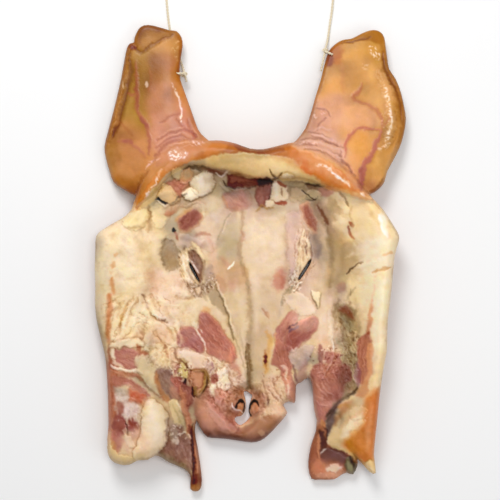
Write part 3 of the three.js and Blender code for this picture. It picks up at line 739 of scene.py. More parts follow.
stroke("164,344 166,352 168,358", "#b4704e", w=0.9, a=0.6, soft=0.9, lift=-0.6)
fill("128,391 134,389.5 142,393 148,399 147,405 140,405 130,401", "#a8492f", soft=1.6, lift=0.7)
grain("128,391 142,393 148,399 140,405 130,401", 22, "#983a2a", "#d88a72", a=0.4, seed=83)
fill("143,402 149,402 148,409 143,410", "#e0a071", a=0.8, soft=1.4)
fill("116,386 128,392 130,402 142,407 144,418 140,428 130,432 120,424 116,410 114,396", "#cdbcaa", soft=1.8)
fill("117,392 124,392 128,402 122,404 117,400", "#d9cbbe", a=0.8, soft=2)
fill("124,404 136,406 142,410 136,418 128,418 124,412", "#dccabb", a=0.85, soft=2.2)
fill("118,414 126,416 128,424 122,424", "#cfc0a8", a=0.8, soft=1.6)
mottle("116,386 128,392 142,407 142,426 128,430 116,412", "#a8766a", "#ece0d4", scale=3.4, a=0.35, seed=85, lift=0.5)
fill("117,403 123,405 123,412 119,415 117,410", "#96503e", a=0.8, soft=1.2)
fill("116,414 124,416 127,424 126,433 118,434 113,428 113,418", "#8e4a42", soft=1.6)
fill("129,419 135,420 139,428 134,432 128,430", "#7b322c", soft=1.4)
flecks("116,414 140,416 140,432 116,434", "#dccbb8", 18, (0.5, 1.1), 0.6, 87, 0.5, stretch=2.4, angle=75)
melt("112,384 130,386 150,398 142,432 114,436", 0.7, 0.7)
stroke("125.5,421 127.5,428 128.5,435", "#2a1210", w=0.3, a=0.9, soft=0.7, lift=-1.2)
fill("112,430 122,432 124,442 118,452 112,448", "#b2685c", a=0.8, soft=2)
fill("110,440 117,444 116,455 111.6,456", "#cf9a62", a=0.7, soft=3)
fill("107.6,432 111,434 111.4,452 108.6,455", "#e2cc9c", a=0.8, soft=1.6)
fill("122,434 146,428 150,446 140,456 126,452", "#ddb79c", a=0.8, soft=4)
fill("126,433 130,436 134,446 129,448 125,440", "#eedfc2", a=0.8, soft=1.5, lift=0.8)
# the swollen mound of fat, with painted light on its top and painted shade round its sides
fill("146,401 152,398.6 158,401 164,408 168,418 169.6,430 167.4,441 162,449.6 155,455 146,458 134,459 132,452 137,442 140,432 141,420 142,410", "#e3cfa8", soft=5, lift=5.0, edge=12, wob=0.4)
fill("149,403 157,403 164,415 166.6,430 162,443 153,448 145,440 145,418", "#efe1c4", a=0.9, soft=7, wob=0.3)
fill("151,407 157,408 161,420 160,432 153,432 149,420", "#f4ead4", a=0.8, soft=6, wob=0.3)
fill("128,434 140,428 149,440 146,453 132,450", "#e8c3a6", a=0.65, soft=7, wob=0.3)
shade_line("165,409 169,421 170,434 166.4,445 158,454", 0.20, w=0.8, soft=4.2)
fill("110,444 116,452 128,457 140,455 150,457 146,461 128,466 114,463 108,452", "#dcc492", soft=2.0, lift=1.2)
stroke("112,460 124,463.5 134,462 141,459 152,458", "#b2935e", w=1.0, a=0.6, soft=1.2)
stroke("129,450 134,453 130,456", "#f2e4c4", w=1.1, a=0.7, soft=1)
# mauve muscle beside it
fill("157,368 168,369 176,380 182,394 180,402 170,400 161,389 156.4,378", "#8f6b5b", soft=2.4)
stroke("156.8,371 157,380 160,389 165,396 170,403", "#a9683f", w=1.6, a=0.8, soft=1.6)
grain("158,368 168,369 182,394 172,398 157,376", 62, "#76503f", "#b48f7c", a=0.45, seed=89)
fill("171,375 184,381 192,389 193.4,400 189,410 184,404 177,392", "#9a5046", soft=2.2, a=0.95)
fill("172,377 178,378 182,384 178,388", "#a9564a", a=0.8, soft=2)
fill("170,386 178,390 180,400 174,400", "#bb8468", soft=2.5, a=0.7)
grain("171,376 192,392 193,404 176,390", 58, "#7c3730", "#c07a6c", a=0.5, seed=91)
stroke("157,372 158,384 163,394 170,403", "#c58a5c", w=1.3, a=0.6, soft=1.3)
fill("168,402 176,400 182,412 184,424 178,428 172,418", "#dcc898", soft=1.3, lift=1.2)
stroke("176,402 180,407 184,413", "#f3e9c8", w=0.8, a=0.9, soft=0.7, lift=0.8)
stroke("172,404 178,416 181,425", "#b09560", w=0.7, a=0.6, soft=0.9)
fill("166,428 180,426 190,440 193,458 191,470 180,466 166,460 158,454 166,444", "#8e6353", soft=2.2)
fill("160,453 172,457 184,464 190,472 184,470 170,463 160,458", "#8a7450", a=0.8, soft=2.4)
grain("166,428 190,440 191,468 166,458", 70, "#704840", "#b48a7c", a=0.45, seed=93, along=8)
mottle("166,424 190,430 192,466 164,458", "#6d463e", "#c8a898", scale=3.0, a=0.3, seed=95)
fill("167,418 176,424 178,438 170,440 166,432", "#b7a48c", a=0.7, soft=2)
flecks("168,424 186,428 186,440 170,438", "#e9dccb", 22, (0.5, 1.3), 0.7, 97, 0.4)
fill("171,440 178,441 177,445 172,444", "#dccdc0", a=0.85, soft=1.0, lift=0.5, gloss=0.8)
stroke("157,456 166,460 176,465 187,471", "#c7b68e", w=1.6, a=0.8, soft=1.2)
stroke("160,459 170,464 180,469 190,474", "#6e5a40", w=0.8, a=0.6, soft=1.0)
# ochre coil where the strand starts
fill("189,374 196,371 202,375 203,384 198,389 191,387 188,380", "#c08262", a=0.85, soft=2.2)
stroke("200,370 205,371.4 206.4,378 205.4,386 202,392.6 197.6,395.4 194.4,393 194.6,389.4 197.4,387", "#8b5f30", w=1.7, a=0.95, soft=0.9, lift=1.6, wob=0.3)
stroke("203.6,373 204.6,380 203,388 199,392.6", "#b88a4e", w=0.6, a=0.8, soft=0.7)
stroke("206.6,376 206.8,384 204.4,390.6 200,396 195,396.6", "#43250f", w=0.5, a=0.85, soft=0.7, wob=0.3)
stroke("192.6,388 192.4,394 195,398", "#3a1a12", w=0.9, a=0.85, soft=0.9, lift=-1.0)
# strand
stroke("181,388 184,400 187,414 190,428 191,438", "#b4664a", w=2.8, a=0.95, soft=1.2, lift=1.8, w2=2.2)
stroke("182,402 186,418 190,432", "#cf8a60", w=1.0, a=0.7, soft=1.0, lift=0.8)
stroke("190,426 193,440 195,456 195.5,472 196,489", "#743628", w=2.6, a=0.95, soft=1.0)
stroke("198.4,440 200,456 201.2,472 201,486", "#8a3b28", w=1.1, a=0.9, soft=0.9)
stroke("192.6,428 195,440 196.8,454 197.8,470 198.2,484", "#b0633f", w=1.3, a=0.95, soft=0.9, lift=1.2)
stroke("195.4,444 196.8,458 197.8,474", "#c9805c", w=0.5, a=0.8, soft=0.8, lift=0.8)
stroke("193.4,424 192,440 193,462 193,486", "#3f1b12", w=0.9, a=0.85, soft=1.0, lift=-1.0)
stroke("201,452 202.4,470 201.8,487", "#5c2417", w=0.5, a=0.85, soft=0.8)
fill("190.6,476 197,474 202.4,478 202,487 198,490 191,489", "#7a3422", a=0.75, soft=2.2)
fill("190.6,479 195,479 195.4,487 191,488", "#47190f", a=0.8, soft=1.6)
fill("190,487 196,484 202,486 198,492 191,492", "#b77a45", a=0.8, soft=1.2)
stroke("189,434 190.5,438", "#f6e6d6", w=0.8, a=0.9, soft=0.6)

# -- snout -----------------------------------------------------------------------------------
fill("194,404 206,396 216,406 230,424 244,428 262,422 274,412 287,405 290,414 278,428 262,443 240,443 208,440 198,428", "#b8816c", soft=1.6)
fill("196,396 206,394 210,404 200,414 194,408", "#b88264", a=0.8, soft=2.5)
fill("208,402 216,406 232,424 238,432 224,430 210,416", "#c48c7c", soft=2, lift=0.9)
stroke("208,396 214,406 224,416 236,426", "#ab5f54", w=2.2, a=0.9, soft=1.4, lift=-0.6)
stroke("205,400 212,410 222,419 233,427", "#dcae9c", w=1.0, a=0.6, soft=1.0, lift=0.8)
grain("206,396 240,424 236,432 206,410", 48, "#8f4c44", "#d8a490", a=0.35, seed=99)
fill("216,388 232,392 238,404 236,424 226,416 214,404", "#b46e5c", a=0.85, soft=2)
mottle("216,386 240,390 240,424 222,412", "#8c483c", "#e0b49c", scale=2.6, a=0.45, seed=101, lift=0.7)
stroke("226,392 232,400 230,408", "#c98a68", w=1.2, a=0.8, soft=1)
stroke("230,405 233,410 238,412 241,409", "#f0ddd0", w=0.9, a=0.9, soft=0.6, lift=0.8)
fill("240,386 250,392 250,396 240,396 234,396 234,388", "#c39a74", a=0.85, soft=2)
fill("250,388 262,384 266,396 262,408 256,400 252,394", "#c4a07c", a=0.9, soft=2)
mottle("248,384 282,380 288,404 262,418 250,400", "#a87c60", "#f0d9be", scale=2.8, a=0.4, seed=103, lift=0.8)
fill("262,378 282,374 292,380 290,396 283,404 270,404 262,394", "#dcbc9c", soft=2, a=0.9)
for line in ("262,380 266,392 268,404", "272,378 276,390 282,400", "258,392 262,402 266,410", "266,384 272,394 278,402"):
    stroke(line, "#a9785c", w=0.7, a=0.6, soft=0.8, lift=-0.6)
    
stroke("262,392 264,400", "#5f3526", w=0.6, a=0.8, soft=0.6)
stroke("267,399 267.5,409", "#5f3526", w=0.6, a=0.8, soft=0.6)
fill("262,408 278,402 287,407 287,415 279,420 268,417", "#efcba8", soft=2.0, lift=0.8)
fill("244,428 262,416 276,416 282,420 270,434 258,441 244,440", "#b38266", soft=2)
fill("262,416 274,416 278,422 266,430 258,430", "#a9764e", a=0.6, soft=3)
melt("196,400 206,398 222,412 236,426 262,420 284,410 284,418 262,440 240,440 208,437 198,424", 1.8)
# painted light and shade on the snout's forms
form_shade(208, 408, 7, 9, -0.10)
form_shade(222, 424, 12, 5, -0.06, 25)
form_shade(266, 424, 10, 6, 0.05, -30)
# darker along the snout's lower edge, with painted shade there
fill("204,431 212,430 226,432 238,434 250,437 262,434 262,441 250,442.5 236,440.6 218,438.6 207,437.6", "#7a4a3a", a=0.75, soft=4.0, wob=0.3)
stroke("203,433 208,436 216,437 230,437.6 243,440 254,441.5 262,439 272,431", "#5a2f24", w=1.4, a=0.9, soft=2.2)
shade_line("206,430 222,432 240,434 256,435 270,427 280,419", 0.16, w=1.0, soft=5.0)
stroke("200,428 205,434", "#6b3a2e", w=1.2, a=0.7, soft=1.2)
stroke("222,430 232,432 240,428", "#cf9c84", w=1.2, a=0.5, soft=1.2)
stroke("234,434 238,430 240,426", "#7c4a3c", w=0.7, a=0.6, soft=0.8)
fill("258,433 262,430 266,433 262,437", "#c8a07c", a=0.7, soft=1)
stroke("200,412 206,424 216,434", "#c98f7a", w=2.0, a=0.4, soft=2.5)
# nostrils: dark curled linings round the openings, near-black as painted shadow where they turn into them
fill("226,392 236,388 250,390 262,392 266,402 262,414 250,420 236,418 228,410 225,400", "#b57a5e", soft=2.5, a=0.7)
fill("236.6,403 238.6,400 241.4,399 243.8,401 242,403.2 239.4,403 237.6,406.4 236,409 234.8,407", "#1c0e0a", soft=0.6, wob=0.2)
stroke("243.2,400.5 244.4,404 244.2,409 242.2,414", "#1d0e0a", w=0.5, a=1.0, soft=0.5, wob=0.15)
fill("237.4,404.4 240.6,402.6 243.2,404.6 243,409 241,413 238.6,410", "#c98058", soft=0.9, lift=1.0)
stroke("238.6,404.6 241.4,405.4 242.2,409", "#e8b48c", w=0.5, a=0.8, soft=0.6)
stroke("232.4,402.6 233,406.6 236.2,410 240.6,410.4 243,413", "#f3e2d6", w=0.7, a=0.9, soft=0.5, lift=0.8, wob=0.3)
stroke("239.4,394 241.4,391.6 243,394.6", "#a8603c", w=1.4, a=0.9, soft=0.8, lift=0.8)
fill("251.4,401 254.4,399.2 258,400.8 259.4,404.6 258.4,407.4 256.8,404 253.8,403.2 251.4,405.6 250.2,409.4 249.6,405.4", "#1c0e0a", soft=0.6, wob=0.2)
stroke("252.6,394 255.6,392.6 259,394.4 261,398", "#9c6a4a", w=0.8, a=0.7, soft=1.0, lift=0.6)
stroke("250.2,403 248.9,408 249.4,413.4 251.8,416.4", "#1d0e0a", w=0.7, a=1.0, soft=0.5, wob=0.15)
fill("252.6,403.8 256.4,403.2 258.4,406.6 257,411.4 253.6,414.6 251.4,411", "#cf8660", soft=0.9, lift=1.0)
stroke("253.4,406 252.6,410 253.6,413.4", "#efc09c", w=0.6, a=0.8, soft=0.6)
stroke("236,415.6 240.4,416.4 244,415", "#c07a5c", w=1.0, a=0.8, soft=0.8)
stroke("234,420 238,425.4 243,424.4 250,419.6", "#d8a088", w=0.8, a=0.8, soft=0.9)

# mauve flap beside the snout
fill("284,374 291,372 295,384 296,400 290,402 286,392", "#b47a68", soft=1.4)
stroke("284,376 288,386 289,398", "#e6cbb4", w=1.2, a=0.7, soft=1.0, lift=0.6)

# -- right of the nose ---------------------------------------------------------------------
fill("275,334 283,321 291,311 298,312 296,322 289,334 292,344 284,352 276,345", "#b57264", soft=1.2, lift=1.0)
grain("275,334 291,311 298,312 289,334 284,352 276,345", 118, "#8f5148", "#d09a88", a=0.45, seed=107)
fill("286,336 292,326 303,319 313,315.5 318,320 317,330 310,338 300,345 293,353 286,348", "#9c5046", soft=1.1, lift=1.4, rim="#cf9c84")
grain("286,336 303,319 318,320 310,338 293,353", 140, "#74322e", "#bd7468", a=0.5, seed=109)
stroke("289,332 293,328 298,326", "#6c5566", w=1.2, a=0.75, soft=0.7)
stroke("287,330 292,325 297,323", "#54303a", w=0.6, a=0.8, soft=0.6)
fill("274,350 279,340 288,346 296,352 292,362 291,372 284,378 278,368 273,364", "#ac6656", soft=1.3, lift=0.8)
grain("274,350 288,346 296,352 290,374 278,368", 75, "#84453c", "#c98a78", a=0.5, seed=111)
fill("282,374 290,376 290,382 284,384", "#b8735f", a=0.8, soft=1)
stroke("281,366 286,370 286,380", "#ecd8c4", w=1.2, a=0.7, soft=1, lift=0.7)
flecks("262,370 292,372 288,392 262,392", "#b9805f", 30, (0.5, 1.2), 0.6, 113, -0.4)
stroke("262,308 265,313 269,318", "#b77e58", w=0.8, a=0.7, soft=0.8)
stroke("266,311 270,316", "#c48e66", w=0.8, a=0.6, soft=0.8)
stroke("267,332 270,338 269,350 266,366 265,372", "#dca862", w=2.2, a=0.85, soft=1.6)
stroke("276,334 272,346 269,360", "#ecc98c", w=1.6, a=0.7, soft=1.4)
fill("266,354 268,357 267.5,362 265.5,364 265,359", "#3c1408", soft=0.8)
stroke("266,350 266.5,368", "#9c4a1c", w=1.0, a=0.6, soft=1)
fill("290,352 302,346 312,346 312,352 306,364 298,372 292,366", "#ccb3a6", soft=1.5, lift=1.0)
mottle("290,352 312,346 306,364 296,372", "#a48880", "#ebdcd0", scale=3.4, a=0.35, seed=115)
fill("300,366 306,360 308,366 305,378 300,382 296,378", "#ad8078", soft=2.2, a=0.7)
stroke("292,364 296,376 298,383", "#7b4a44", w=0.7, a=0.7, soft=0.8)
stroke("305,378 302,382 298,383", "#cda284", w=1.1, a=0.8, soft=0.8)

# -- right eye ---------------------------------------------------------------------------------
fill("287,214 298,212 302,226 300,240 297,262 293,282 288,262 286,236", "#dcbfb2", soft=2.2, a=0.9, lift=0.6)
fill("292,216 298,214 300,228 294,232", "#ccb4a4", a=0.5, soft=2.5)
stroke("289,226 287,240 288,256", "#c9a594", w=0.6, a=0.7, soft=0.8)
fill("299.6,204.6 306,202 311,205 315.4,214 317.4,226 316,235 310.4,230.4 304,221.6 300.6,213", "#d2a283", soft=1.4, lift=0.8)
fill("303,206 307,205 310,208 313.4,215 315.4,226 314.6,231 311,227.6 306.4,220 303.6,212.6", "#9d5645", soft=2.2, lift=0.5)
grain("301,205 310,206 316,226 311,229 302,213", 72, "#83402f", "#c4846a", a=0.45, seed=117)
stroke("298,206 302,218 308,230", "#e9d3c0", w=1.0, a=0.7, soft=1)
fill("302,232 304,229 305,236 310,240 311,252 311,260 303,276 296,282 295,270 298,256 298,242 301,238", "#efdcbb", soft=1.2, lift=1.2)
mottle("296,232 312,236 314,262 304,280 294,282", "#b58264", "#fff6e2", scale=1.9, a=0.42, seed=119, lift=0.9, soft=1.2, stretch=2.8, angle=95)
stroke("306,244 305.5,250 306.5,255", "#7a4634", w=0.7, a=0.8, soft=0.6)
stroke("300,240 299,248", "#9a6a50", w=0.6, a=0.7, soft=0.6)
# the slit painted black as shadow
stroke("298.4,280 301.6,274.6 305.6,268.6 308.4,264.4 310.6,259.6", "#0a0504", w=1.15, a=1.0, soft=0.45, wob=0.15)
stroke("296,279 295,273 297,270", "#fbf0d8", w=0.9, a=0.9, soft=0.6, lift=0.8)
stroke("300,279 305,274 310,267", "#d6a284", w=0.9, a=0.6, soft=0.8)
flecks("289,270 298,272 302,284 300,292 290,292", "#86604c", 22, (0.4, 0.9), 0.6, 121, -0.4)
flecks("290,274 300,276 303,286 298,292 290,290", "#fdf4e4", 34, (0.4, 1.2), 0.85, 123, 0.9)
flecks("312,262 316,264 314,276 310,276", "#9c7058", 12, (0.3, 0.8), 0.6, 125)
fill("276,272 284,268 287,278 284,288 277,290 273,282", "#c47c66", a=0.75, soft=3.5)
fill("280,276 285,277 284,286 280,288", "#b3604c", a=0.6, soft=2)
fill("308,234 318,236 322,250 318,262 311,256 311,244", "#a08676", a=0.75, soft=3)
stroke("310,240 311,244 312,248", "#8a8298", w=0.5, a=0.35, soft=1.0)
stroke("314,236 319,248 318,258", "#8f7b70", w=1.2, a=0.5, soft=1.5)
# brown-red strip and creases right of it
fill("313,204 322,202 328,212 334,226 338,240 330,236 322,222 316,214", "#a58468", a=0.75, soft=2.5)
stroke("318,206 324,216 328,225", "#7e4c3a", w=1.4, a=0.75, soft=1.2, lift=-0.8)
stroke("324,206 329,214 336,220", "#caa880", w=1.4, a=0.6, soft=1.5)
fill("330,196 340,200 342,214 334,220 326,210", "#b89a70", a=0.6, soft=3)
stroke("340,192 344,198 348,206", "#9a815c", w=0.9, a=0.75, soft=0.9, lift=-0.8)
stroke("336,198 340,206 350,212", "#f3e3bc", w=1.3, a=0.6, soft=1.4, lift=0.6)
fill("348.5,222 351,221.5 355,225.5 354,227.5 350,226", "#a1442a", soft=0.7)
fill("347.5,227.5 350,227 351,231 354.5,238 352.5,238.5 348.5,233", "#8d3a26", soft=0.8)
stroke("336,216 344,224 348,236", "#f0e0bc", w=1.6, a=0.55, soft=1.8, lift=0.6)
stroke("326,226 330,244 332,262 330,286", "#9d8a6a", w=1.4, a=0.5, soft=2.4, lift=-0.6)
stroke("330,228 336,240 338,256", "#c8ab84", w=1.4, a=0.5, soft=2)
# painted shade in the hollow right of the eye
fill("332,232 344,234 356,242 361,252 359,270 349,276 340,268 334,250", "#ba9d72", a=0.8, soft=7)
fill("344,240 358,244 360,262 350,268", "#b29a74", a=0.5, soft=6)
stroke("347,274 352,269.5 357,265 363,262", "#5f4a38", w=0.7, a=0.85, soft=0.7, lift=-1.2)
stroke("346,258 354,254 366,252", "#f3e6c8", w=1.0, a=0.5, soft=1.2)
fill("338,284 342,282 345,290 342,295 338,291", "#cf9c86", a=0.7, soft=1.8)
stroke("350,290 351,296", "#7a5a40", w=0.6, a=0.6, soft=0.6)
stroke("347,300 352,292 356,286", "#9c8562", w=0.9, a=0.5, soft=1)
# triangular flap
fill("311,291 322,294 319,308 316,304", "#f1e2bc", soft=1.0, lift=1.2, round_=False)
stroke("310.5,291 314,300 318.5,309.5", "#84694c", w=0.7, a=0.8, soft=0.6)
stroke("322,294 321,302 319.5,309", "#a08660", w=0.6, a=0.6, soft=0.6)
stroke("289,288 284,297 281,306", "#9c9274", w=1.1, a=0.7, soft=1.2, lift=-0.8)
stroke("293,286 289,294", "#7b6c54", w=0.8, a=0.6, soft=0.8)
stroke("286,292 282,304 279,318", "#c9baa0", w=1.2, a=0.5, soft=1.6)
fill("284,296 300,292 312,302 316,314 300,314 288,306", "#eedbc0", soft=3, a=0.8, lift=0.8)

# -- right trough: lymph and crumbly fat -----------------------------------------------------------
fill("335,306 340,304 348,306 355,313 358,330 358,350 357,372 352,390 344,396 338,380 342,350 338,330 334,316", "#b79d76", soft=3.5)
folds("334,316 348,322 358,330 359,350 357,374 346,384 337,372 340,345", angle=72, across=3.2, along=10, depth=0.7, dark="#92775a", light="#e2cfa6", a=0.42, width=0.16, seed=505)
mottle("334,304 358,310 360,372 350,392 338,380", "#8a6c4a", "#e0cda4", scale=4.0, a=0.3, seed=127, lift=0.8, stretch=1.5, angle=80)
fill("339,308 346,306 352,311 355,319 352,321 345,316 339,312", "#8c5238", soft=1.1, lift=1.2, rim="#b4a478")
fill("341,316 352,322 356,332 346,330", "#a39570", a=0.7, soft=3)
stroke("340,314 346,321 353,326", "#6f5c40", w=0.5, a=0.6, soft=0.9)
flecks("347,334 358,336 358,370 351,378 346,356", "#66503a", 20, (0.5, 1.3), 0.55, 129, -0.8, stretch=2.2, angle=80)
flecks("344,334 358,336 358,380 346,384", "#dccba0", 30, (0.7, 1.6), 0.55, 131, 1.0, stretch=1.8, angle=70)
fill("352.6,337 355,336 355,341 353,341.6", "#5d4a34", soft=1.1, a=0.8, lift=-0.6)
melt("334,306 358,310 361,372 352,392 338,384 338,340", 1.0)
fill("328,320 338,322 340,350 338,362 330,356 326,340", "#e9d6bb", soft=2, a=0.9)
stroke("330,310 332,330 333,345", "#f0e4d0", w=1.5, a=0.6, soft=1.6, lift=0.8)
stroke("333.2,336 333.6,350 332.6,360 329,367 325.5,373 323,379", "#f8f0e6", w=0.95, a=0.95, soft=0.5, lift=1.2, wob=0.4)
stroke("337,338 341,350 344,362", "#c9bd94", w=1.4, a=0.7, soft=1.2, lift=0.7)
fill("316,336 328,334 332,350 326,362 316,356", "#e2c2a6", a=0.85, soft=2.5)
fill("318,346 322,346 323,364 318,360", "#8f4a3e", a=0.75, soft=1.4)
fill("324,352 336,352 342,362 336,366 326,362", "#a1564c", a=0.8, soft=1.8)
flecks("314,344 342,350 340,378 314,376", "#eed3b4", 42, (0.5, 1.5), 0.75, 133, 0.9)
flecks("312,350 344,352 342,382 312,380", "#7d342c", 36, (0.5, 1.4), 0.65, 135, -0.6)
stroke("318,362 322,368 326,374", "#cf9a68", w=1.3, a=0.75, soft=1.0, lift=0.8)
# hanging muscle
fill("311,372 318,362 334,366 347,366 352,376 352,390 342,398 332,408 326,418 325.5,430 322.5,432 319,426 316,410 313.5,396", "#b06a5a", soft=1.4)
grain("311,372 334,366 352,376 342,398 326,418 322,430 316,410", 62, "#8d4a40", "#d09a8a", a=0.4, seed=137, across=1.6, along=18)
# painted light down the left of the hanging muscle and painted shade down its right side
form_shade(318, 396, 5, 16, -0.05)
form_shade(346, 380, 6, 12, 0.12)
fill("340,364 350,366 352,386 344,396 337,384", "#86564a", a=0.65, soft=4)
fill("314,400 324,404 325,418 320,424 316,412", "#b57268", a=0.7, soft=2.5)
for line in ("313,392 318,398 326,400", "314,398 320,404 327,406", "322,384 328,392 334,396", "316,384 322,390 328,398"):
    stroke(line, "#cf9484", w=0.6, a=0.6, soft=0.7, lift=0.6)
fill("320,420 325,421 325.6,430 323,432 320.5,428", "#c98256", soft=0.9, a=0.9)
fill("347,384 356,382 360,390 352,396 344,400 338,404 334,410 332,404 342,398", "#94795a", soft=2.0, a=0.9)
stroke("357,388 351,394.6 344,399.6 337.6,404 331,411 326.6,417", "#4b3a33", w=1.0, a=0.85, soft=1.2, lift=-1.2)
fill("338,401 345,400 340,405 336,412 336,420 331,431 326.6,440 324,434 326,424 326,414 331,407", "#6f564e", soft=1.4)
stroke("328,413.6 333,413.8 336,413.2", "#4a332c", w=0.3, a=0.8, soft=0.6)

# -- right outer band: cut fat, red line, skin -------------------------------------------------------
fill("362,196 374,199 384,211 394,226 399,236 397,250 390,246 380,230 368,210", "#f1dca6", a=0.85, soft=2)
stroke("362,193.5 374,199 384,211 394,227 399.5,238 397,254 393.5,276 391,300 388.5,320 387.5,345", "#8f6430", w=0.8, a=0.75, soft=1.0)
# painted highlight on the cut fat
fill("378,214 384,216 388,228 388,237 383,232 380,224", "#fff6e6", a=0.8, soft=1.6, gloss=0.85)
stroke("379,214 381,222 383,230 387,237", "#ffffff", w=1.0, a=0.75, soft=0.9, gloss=0.9)
fill("350,206 366,208 376,226 372,244 356,240 350,222", "#f4dfae", a=0.7, soft=5)
stroke("352,206 350,214 353,224", "#caa972", w=1.0, a=0.55, soft=1.3)
stroke("360,200 368,208 374,218", "#e5c78c", w=1.4, a=0.5, soft=1.6)
fill("360,240 392,240 392,266 368,266 358,256", "#f9ebc6", a=0.7, soft=5)
stroke("383,256 388,254 393,252", "#dd9c50", w=1.2, a=0.8, soft=1.0)
stroke("372,273 378,271 384,269 391,267.5", "#cf8c38", w=1.2, a=0.9, soft=0.9, lift=-0.8)
stroke("358,268 366,264 376,262", "#fdf3d6", w=1.2, a=0.7, soft=1.2, lift=0.6)
stroke("362,278 364,282 360,284", "#d9b95c", w=1.6, a=0.7, soft=1.2)
stroke("375,275 374.6,284 373.6,292 372.6,300", "#e2a284", w=1.3, a=0.75, soft=1.1, gaps=0.55, seed=141)
stroke("372.4,300 371,310 370,320 368.8,330 366.6,338 363.5,346", "#cf7a52", w=1.8, a=0.85, soft=1.2)
stroke("369,332 366,338 364,344", "#8d2412", w=0.9, a=0.85, soft=0.7)
stroke("368,300 366.5,314 366,330", "#f6e6c0", w=1.0, a=0.5, soft=1)
fill("380,275 390,272 389,300 387,335 386,350 383,372 376,388 372,380 377,345 379,310", "#f6e0ae", soft=2.2, a=0.9)
fill("375,290 383,286 382,330 378,350 373,340", "#fbeccb", a=0.7, soft=3)
fill("358,340 366,334 371,340 371,356 369,372 364,384 358,380 358,360", "#b56a54", soft=1.3)
grain("358,340 371,340 369,372 360,384", 90, "#8d4636", "#d89a7c", a=0.45, seed=143)
fill("367,345 373,344 373,362 370,380 366,384 368,366", "#dc9468", soft=1.3, a=0.85)
fill("355,362 360,366 360,384 356,384", "#98606a", a=0.6, soft=1.5)
fill("362,384 370,382 368,398 362,404 356,398", "#cf8a5c", a=0.8, soft=2)
fill("372,376 381,372 378,396 372,404 364,408 360,402 368,394", "#f2dcae", soft=1.6)
fill("340,404 352,396 362,400 366,408 362,416 352,422 344,432 336,440 330,438 336,424 342,412", "#e5d0a0", soft=1.6)
fill("338,406 350,400 356,404 354,412 346,414 340,420 334,428 334,420 340,412", "#c98f66", soft=1.5, a=0.9)
stroke("337,408 344,405.5 352,406.5", "#c4812e", w=0.9, a=0.9, soft=0.8)
fill("352,408 360,406 367,410 364,418 354,420 348,414", "#ecd2ae", soft=1.6, lift=1.2)
fill("350,418 361,417 363,424 354,432 346,432", "#f7eacb", soft=2.0, a=0.9, lift=0.6)
fill("328,438 336,430 346,424 354,432 346,440 340,446 332,445", "#d9c08c", soft=1.8)
# outer skin of the twisted jowl
fill("381,385 378,414 375.5,440 374,456 374,464 364,464 354,456 344,448 342,444 350,436 362,424 368,408 374,396", "#cd7538", soft=1.6)
fill("366,400 378,392 376,430 366,424", "#c96a30", a=0.8, soft=4)
fill("352,434 366,430 372,446 362,452 348,446", "#c87f38", a=0.8, soft=3)
fill("344,442 352,440 360,450 350,452", "#bf7a28", a=0.7, soft=2)
fill("368,420 376,420 374,450 368,446", "#d6824c", a=0.8, soft=2.5)
fill("354,398 362,402 364,410 360,418 350,424 341,431 335,440 330,439 335,427 341,417 348,409", "#e2cba0", a=0.7, soft=3, wob=0.3)
fill("352,416 361,415 364,422 357,430 348,436 341,438 344,428", "#f3e6c8", a=0.8, soft=3, wob=0.3)
stroke("350,402 345,409 339,417 334,427", "#c88f5c", w=1.2, a=0.7, soft=2.0)
stroke("363,408 357,414 349,419 341,427", "#d6a472", w=0.9, a=0.6, soft=1.8)
stroke("367,412 364,420 358,428 350,436 342,443", "#e7b377", w=1.6, a=0.6, soft=2.4)
fill("366,398 379,390 376,440 368,444 364,424", "#cf7c44", a=0.6, soft=4, wob=0.3)
fill("356,436 368,428 373,448 372,460 364,460 354,448", "#c67a44", a=0.75, soft=5, wob=0.3)
stroke("371,402 370,420 368,438 366,452", "#e0a078", w=1.6, a=0.45, soft=3.0, wob=0.3)
stroke("350,441 357,447 364,453 371,460", "#b36a32", w=1.2, a=0.6, soft=2.2, wob=0.3)
melt("336,396 366,398 380,388 376,460 352,454 330,440", 1.2)
mottle("342,444 380,390 374,462 356,456", "#a85a24", "#e89a5c", scale=5, a=0.28, seed=145)
# painted pinkish highlights on the jowl
flecks("352,414 366,412 366,426 354,428", "#f8c8b4", 8, (0.5, 1.2), 0.7, 147)
stroke("330,445 340,449 350,453.5 358,459 365,463.5", "#caa86c", w=1.4, a=0.8, soft=1.0)
stroke("328,447 340,452 350,457 358,463", "#4a3228", w=1.2, a=0.85, soft=1.0, lift=-1.0)
fill("322,428 327,431 327,440 325,448 321.6,446 320.6,438", "#3b2019", soft=1.4)
fill("364,464 369,460.5 374.5,463 377,470 376,475 370,473 365,468", "#e6cb92", soft=0.9, lift=1.2, rim="#a8803f")
stroke("366,466 371,469 375,473", "#f5e6c0", w=0.9, a=0.7, soft=0.8)

# -- lip piece ---------------------------------------------------------------------------------------
LIP = "318,424 326,432 328,444 340,450 351,455 358,462 358,470 352,475 346,472 340,476 332,480 312,480 307,470 308,454 312,440"
fill(LIP, "#a8694e", soft=1.0)
fill("319,430 325,434 327,443 323,450 320,446", "#54342a", soft=1.8)
fill("321,449 330,447 346,453 351,463 344,465 336,461 326,461.5 320,457", "#69453e", soft=2.0)
fill("330,451 343,454 346,461 334,459", "#795452", a=0.7, soft=2.5)
melt("310,440 322,446 348,456 346,470 330,478 312,478 308,464", 1.6)
fill("308,452 318,446 320,470 312,477", "#94503e", a=0.6, soft=3, wob=0.3)
fill("318,460 342,462 344,476 316,478", "#b0705e", a=0.45, soft=3, wob=0.3)
stroke("319,434 319,446 320,458", "#c07350", w=1.1, a=0.9, soft=0.9, lift=0.8)
stroke("316,436 312,448 311,456", "#8a4c38", w=1.6, a=0.6, soft=2.2)
stroke("310,452 308.6,464 311,477", "#5a2e22", w=1.0, a=0.8, soft=1.1)
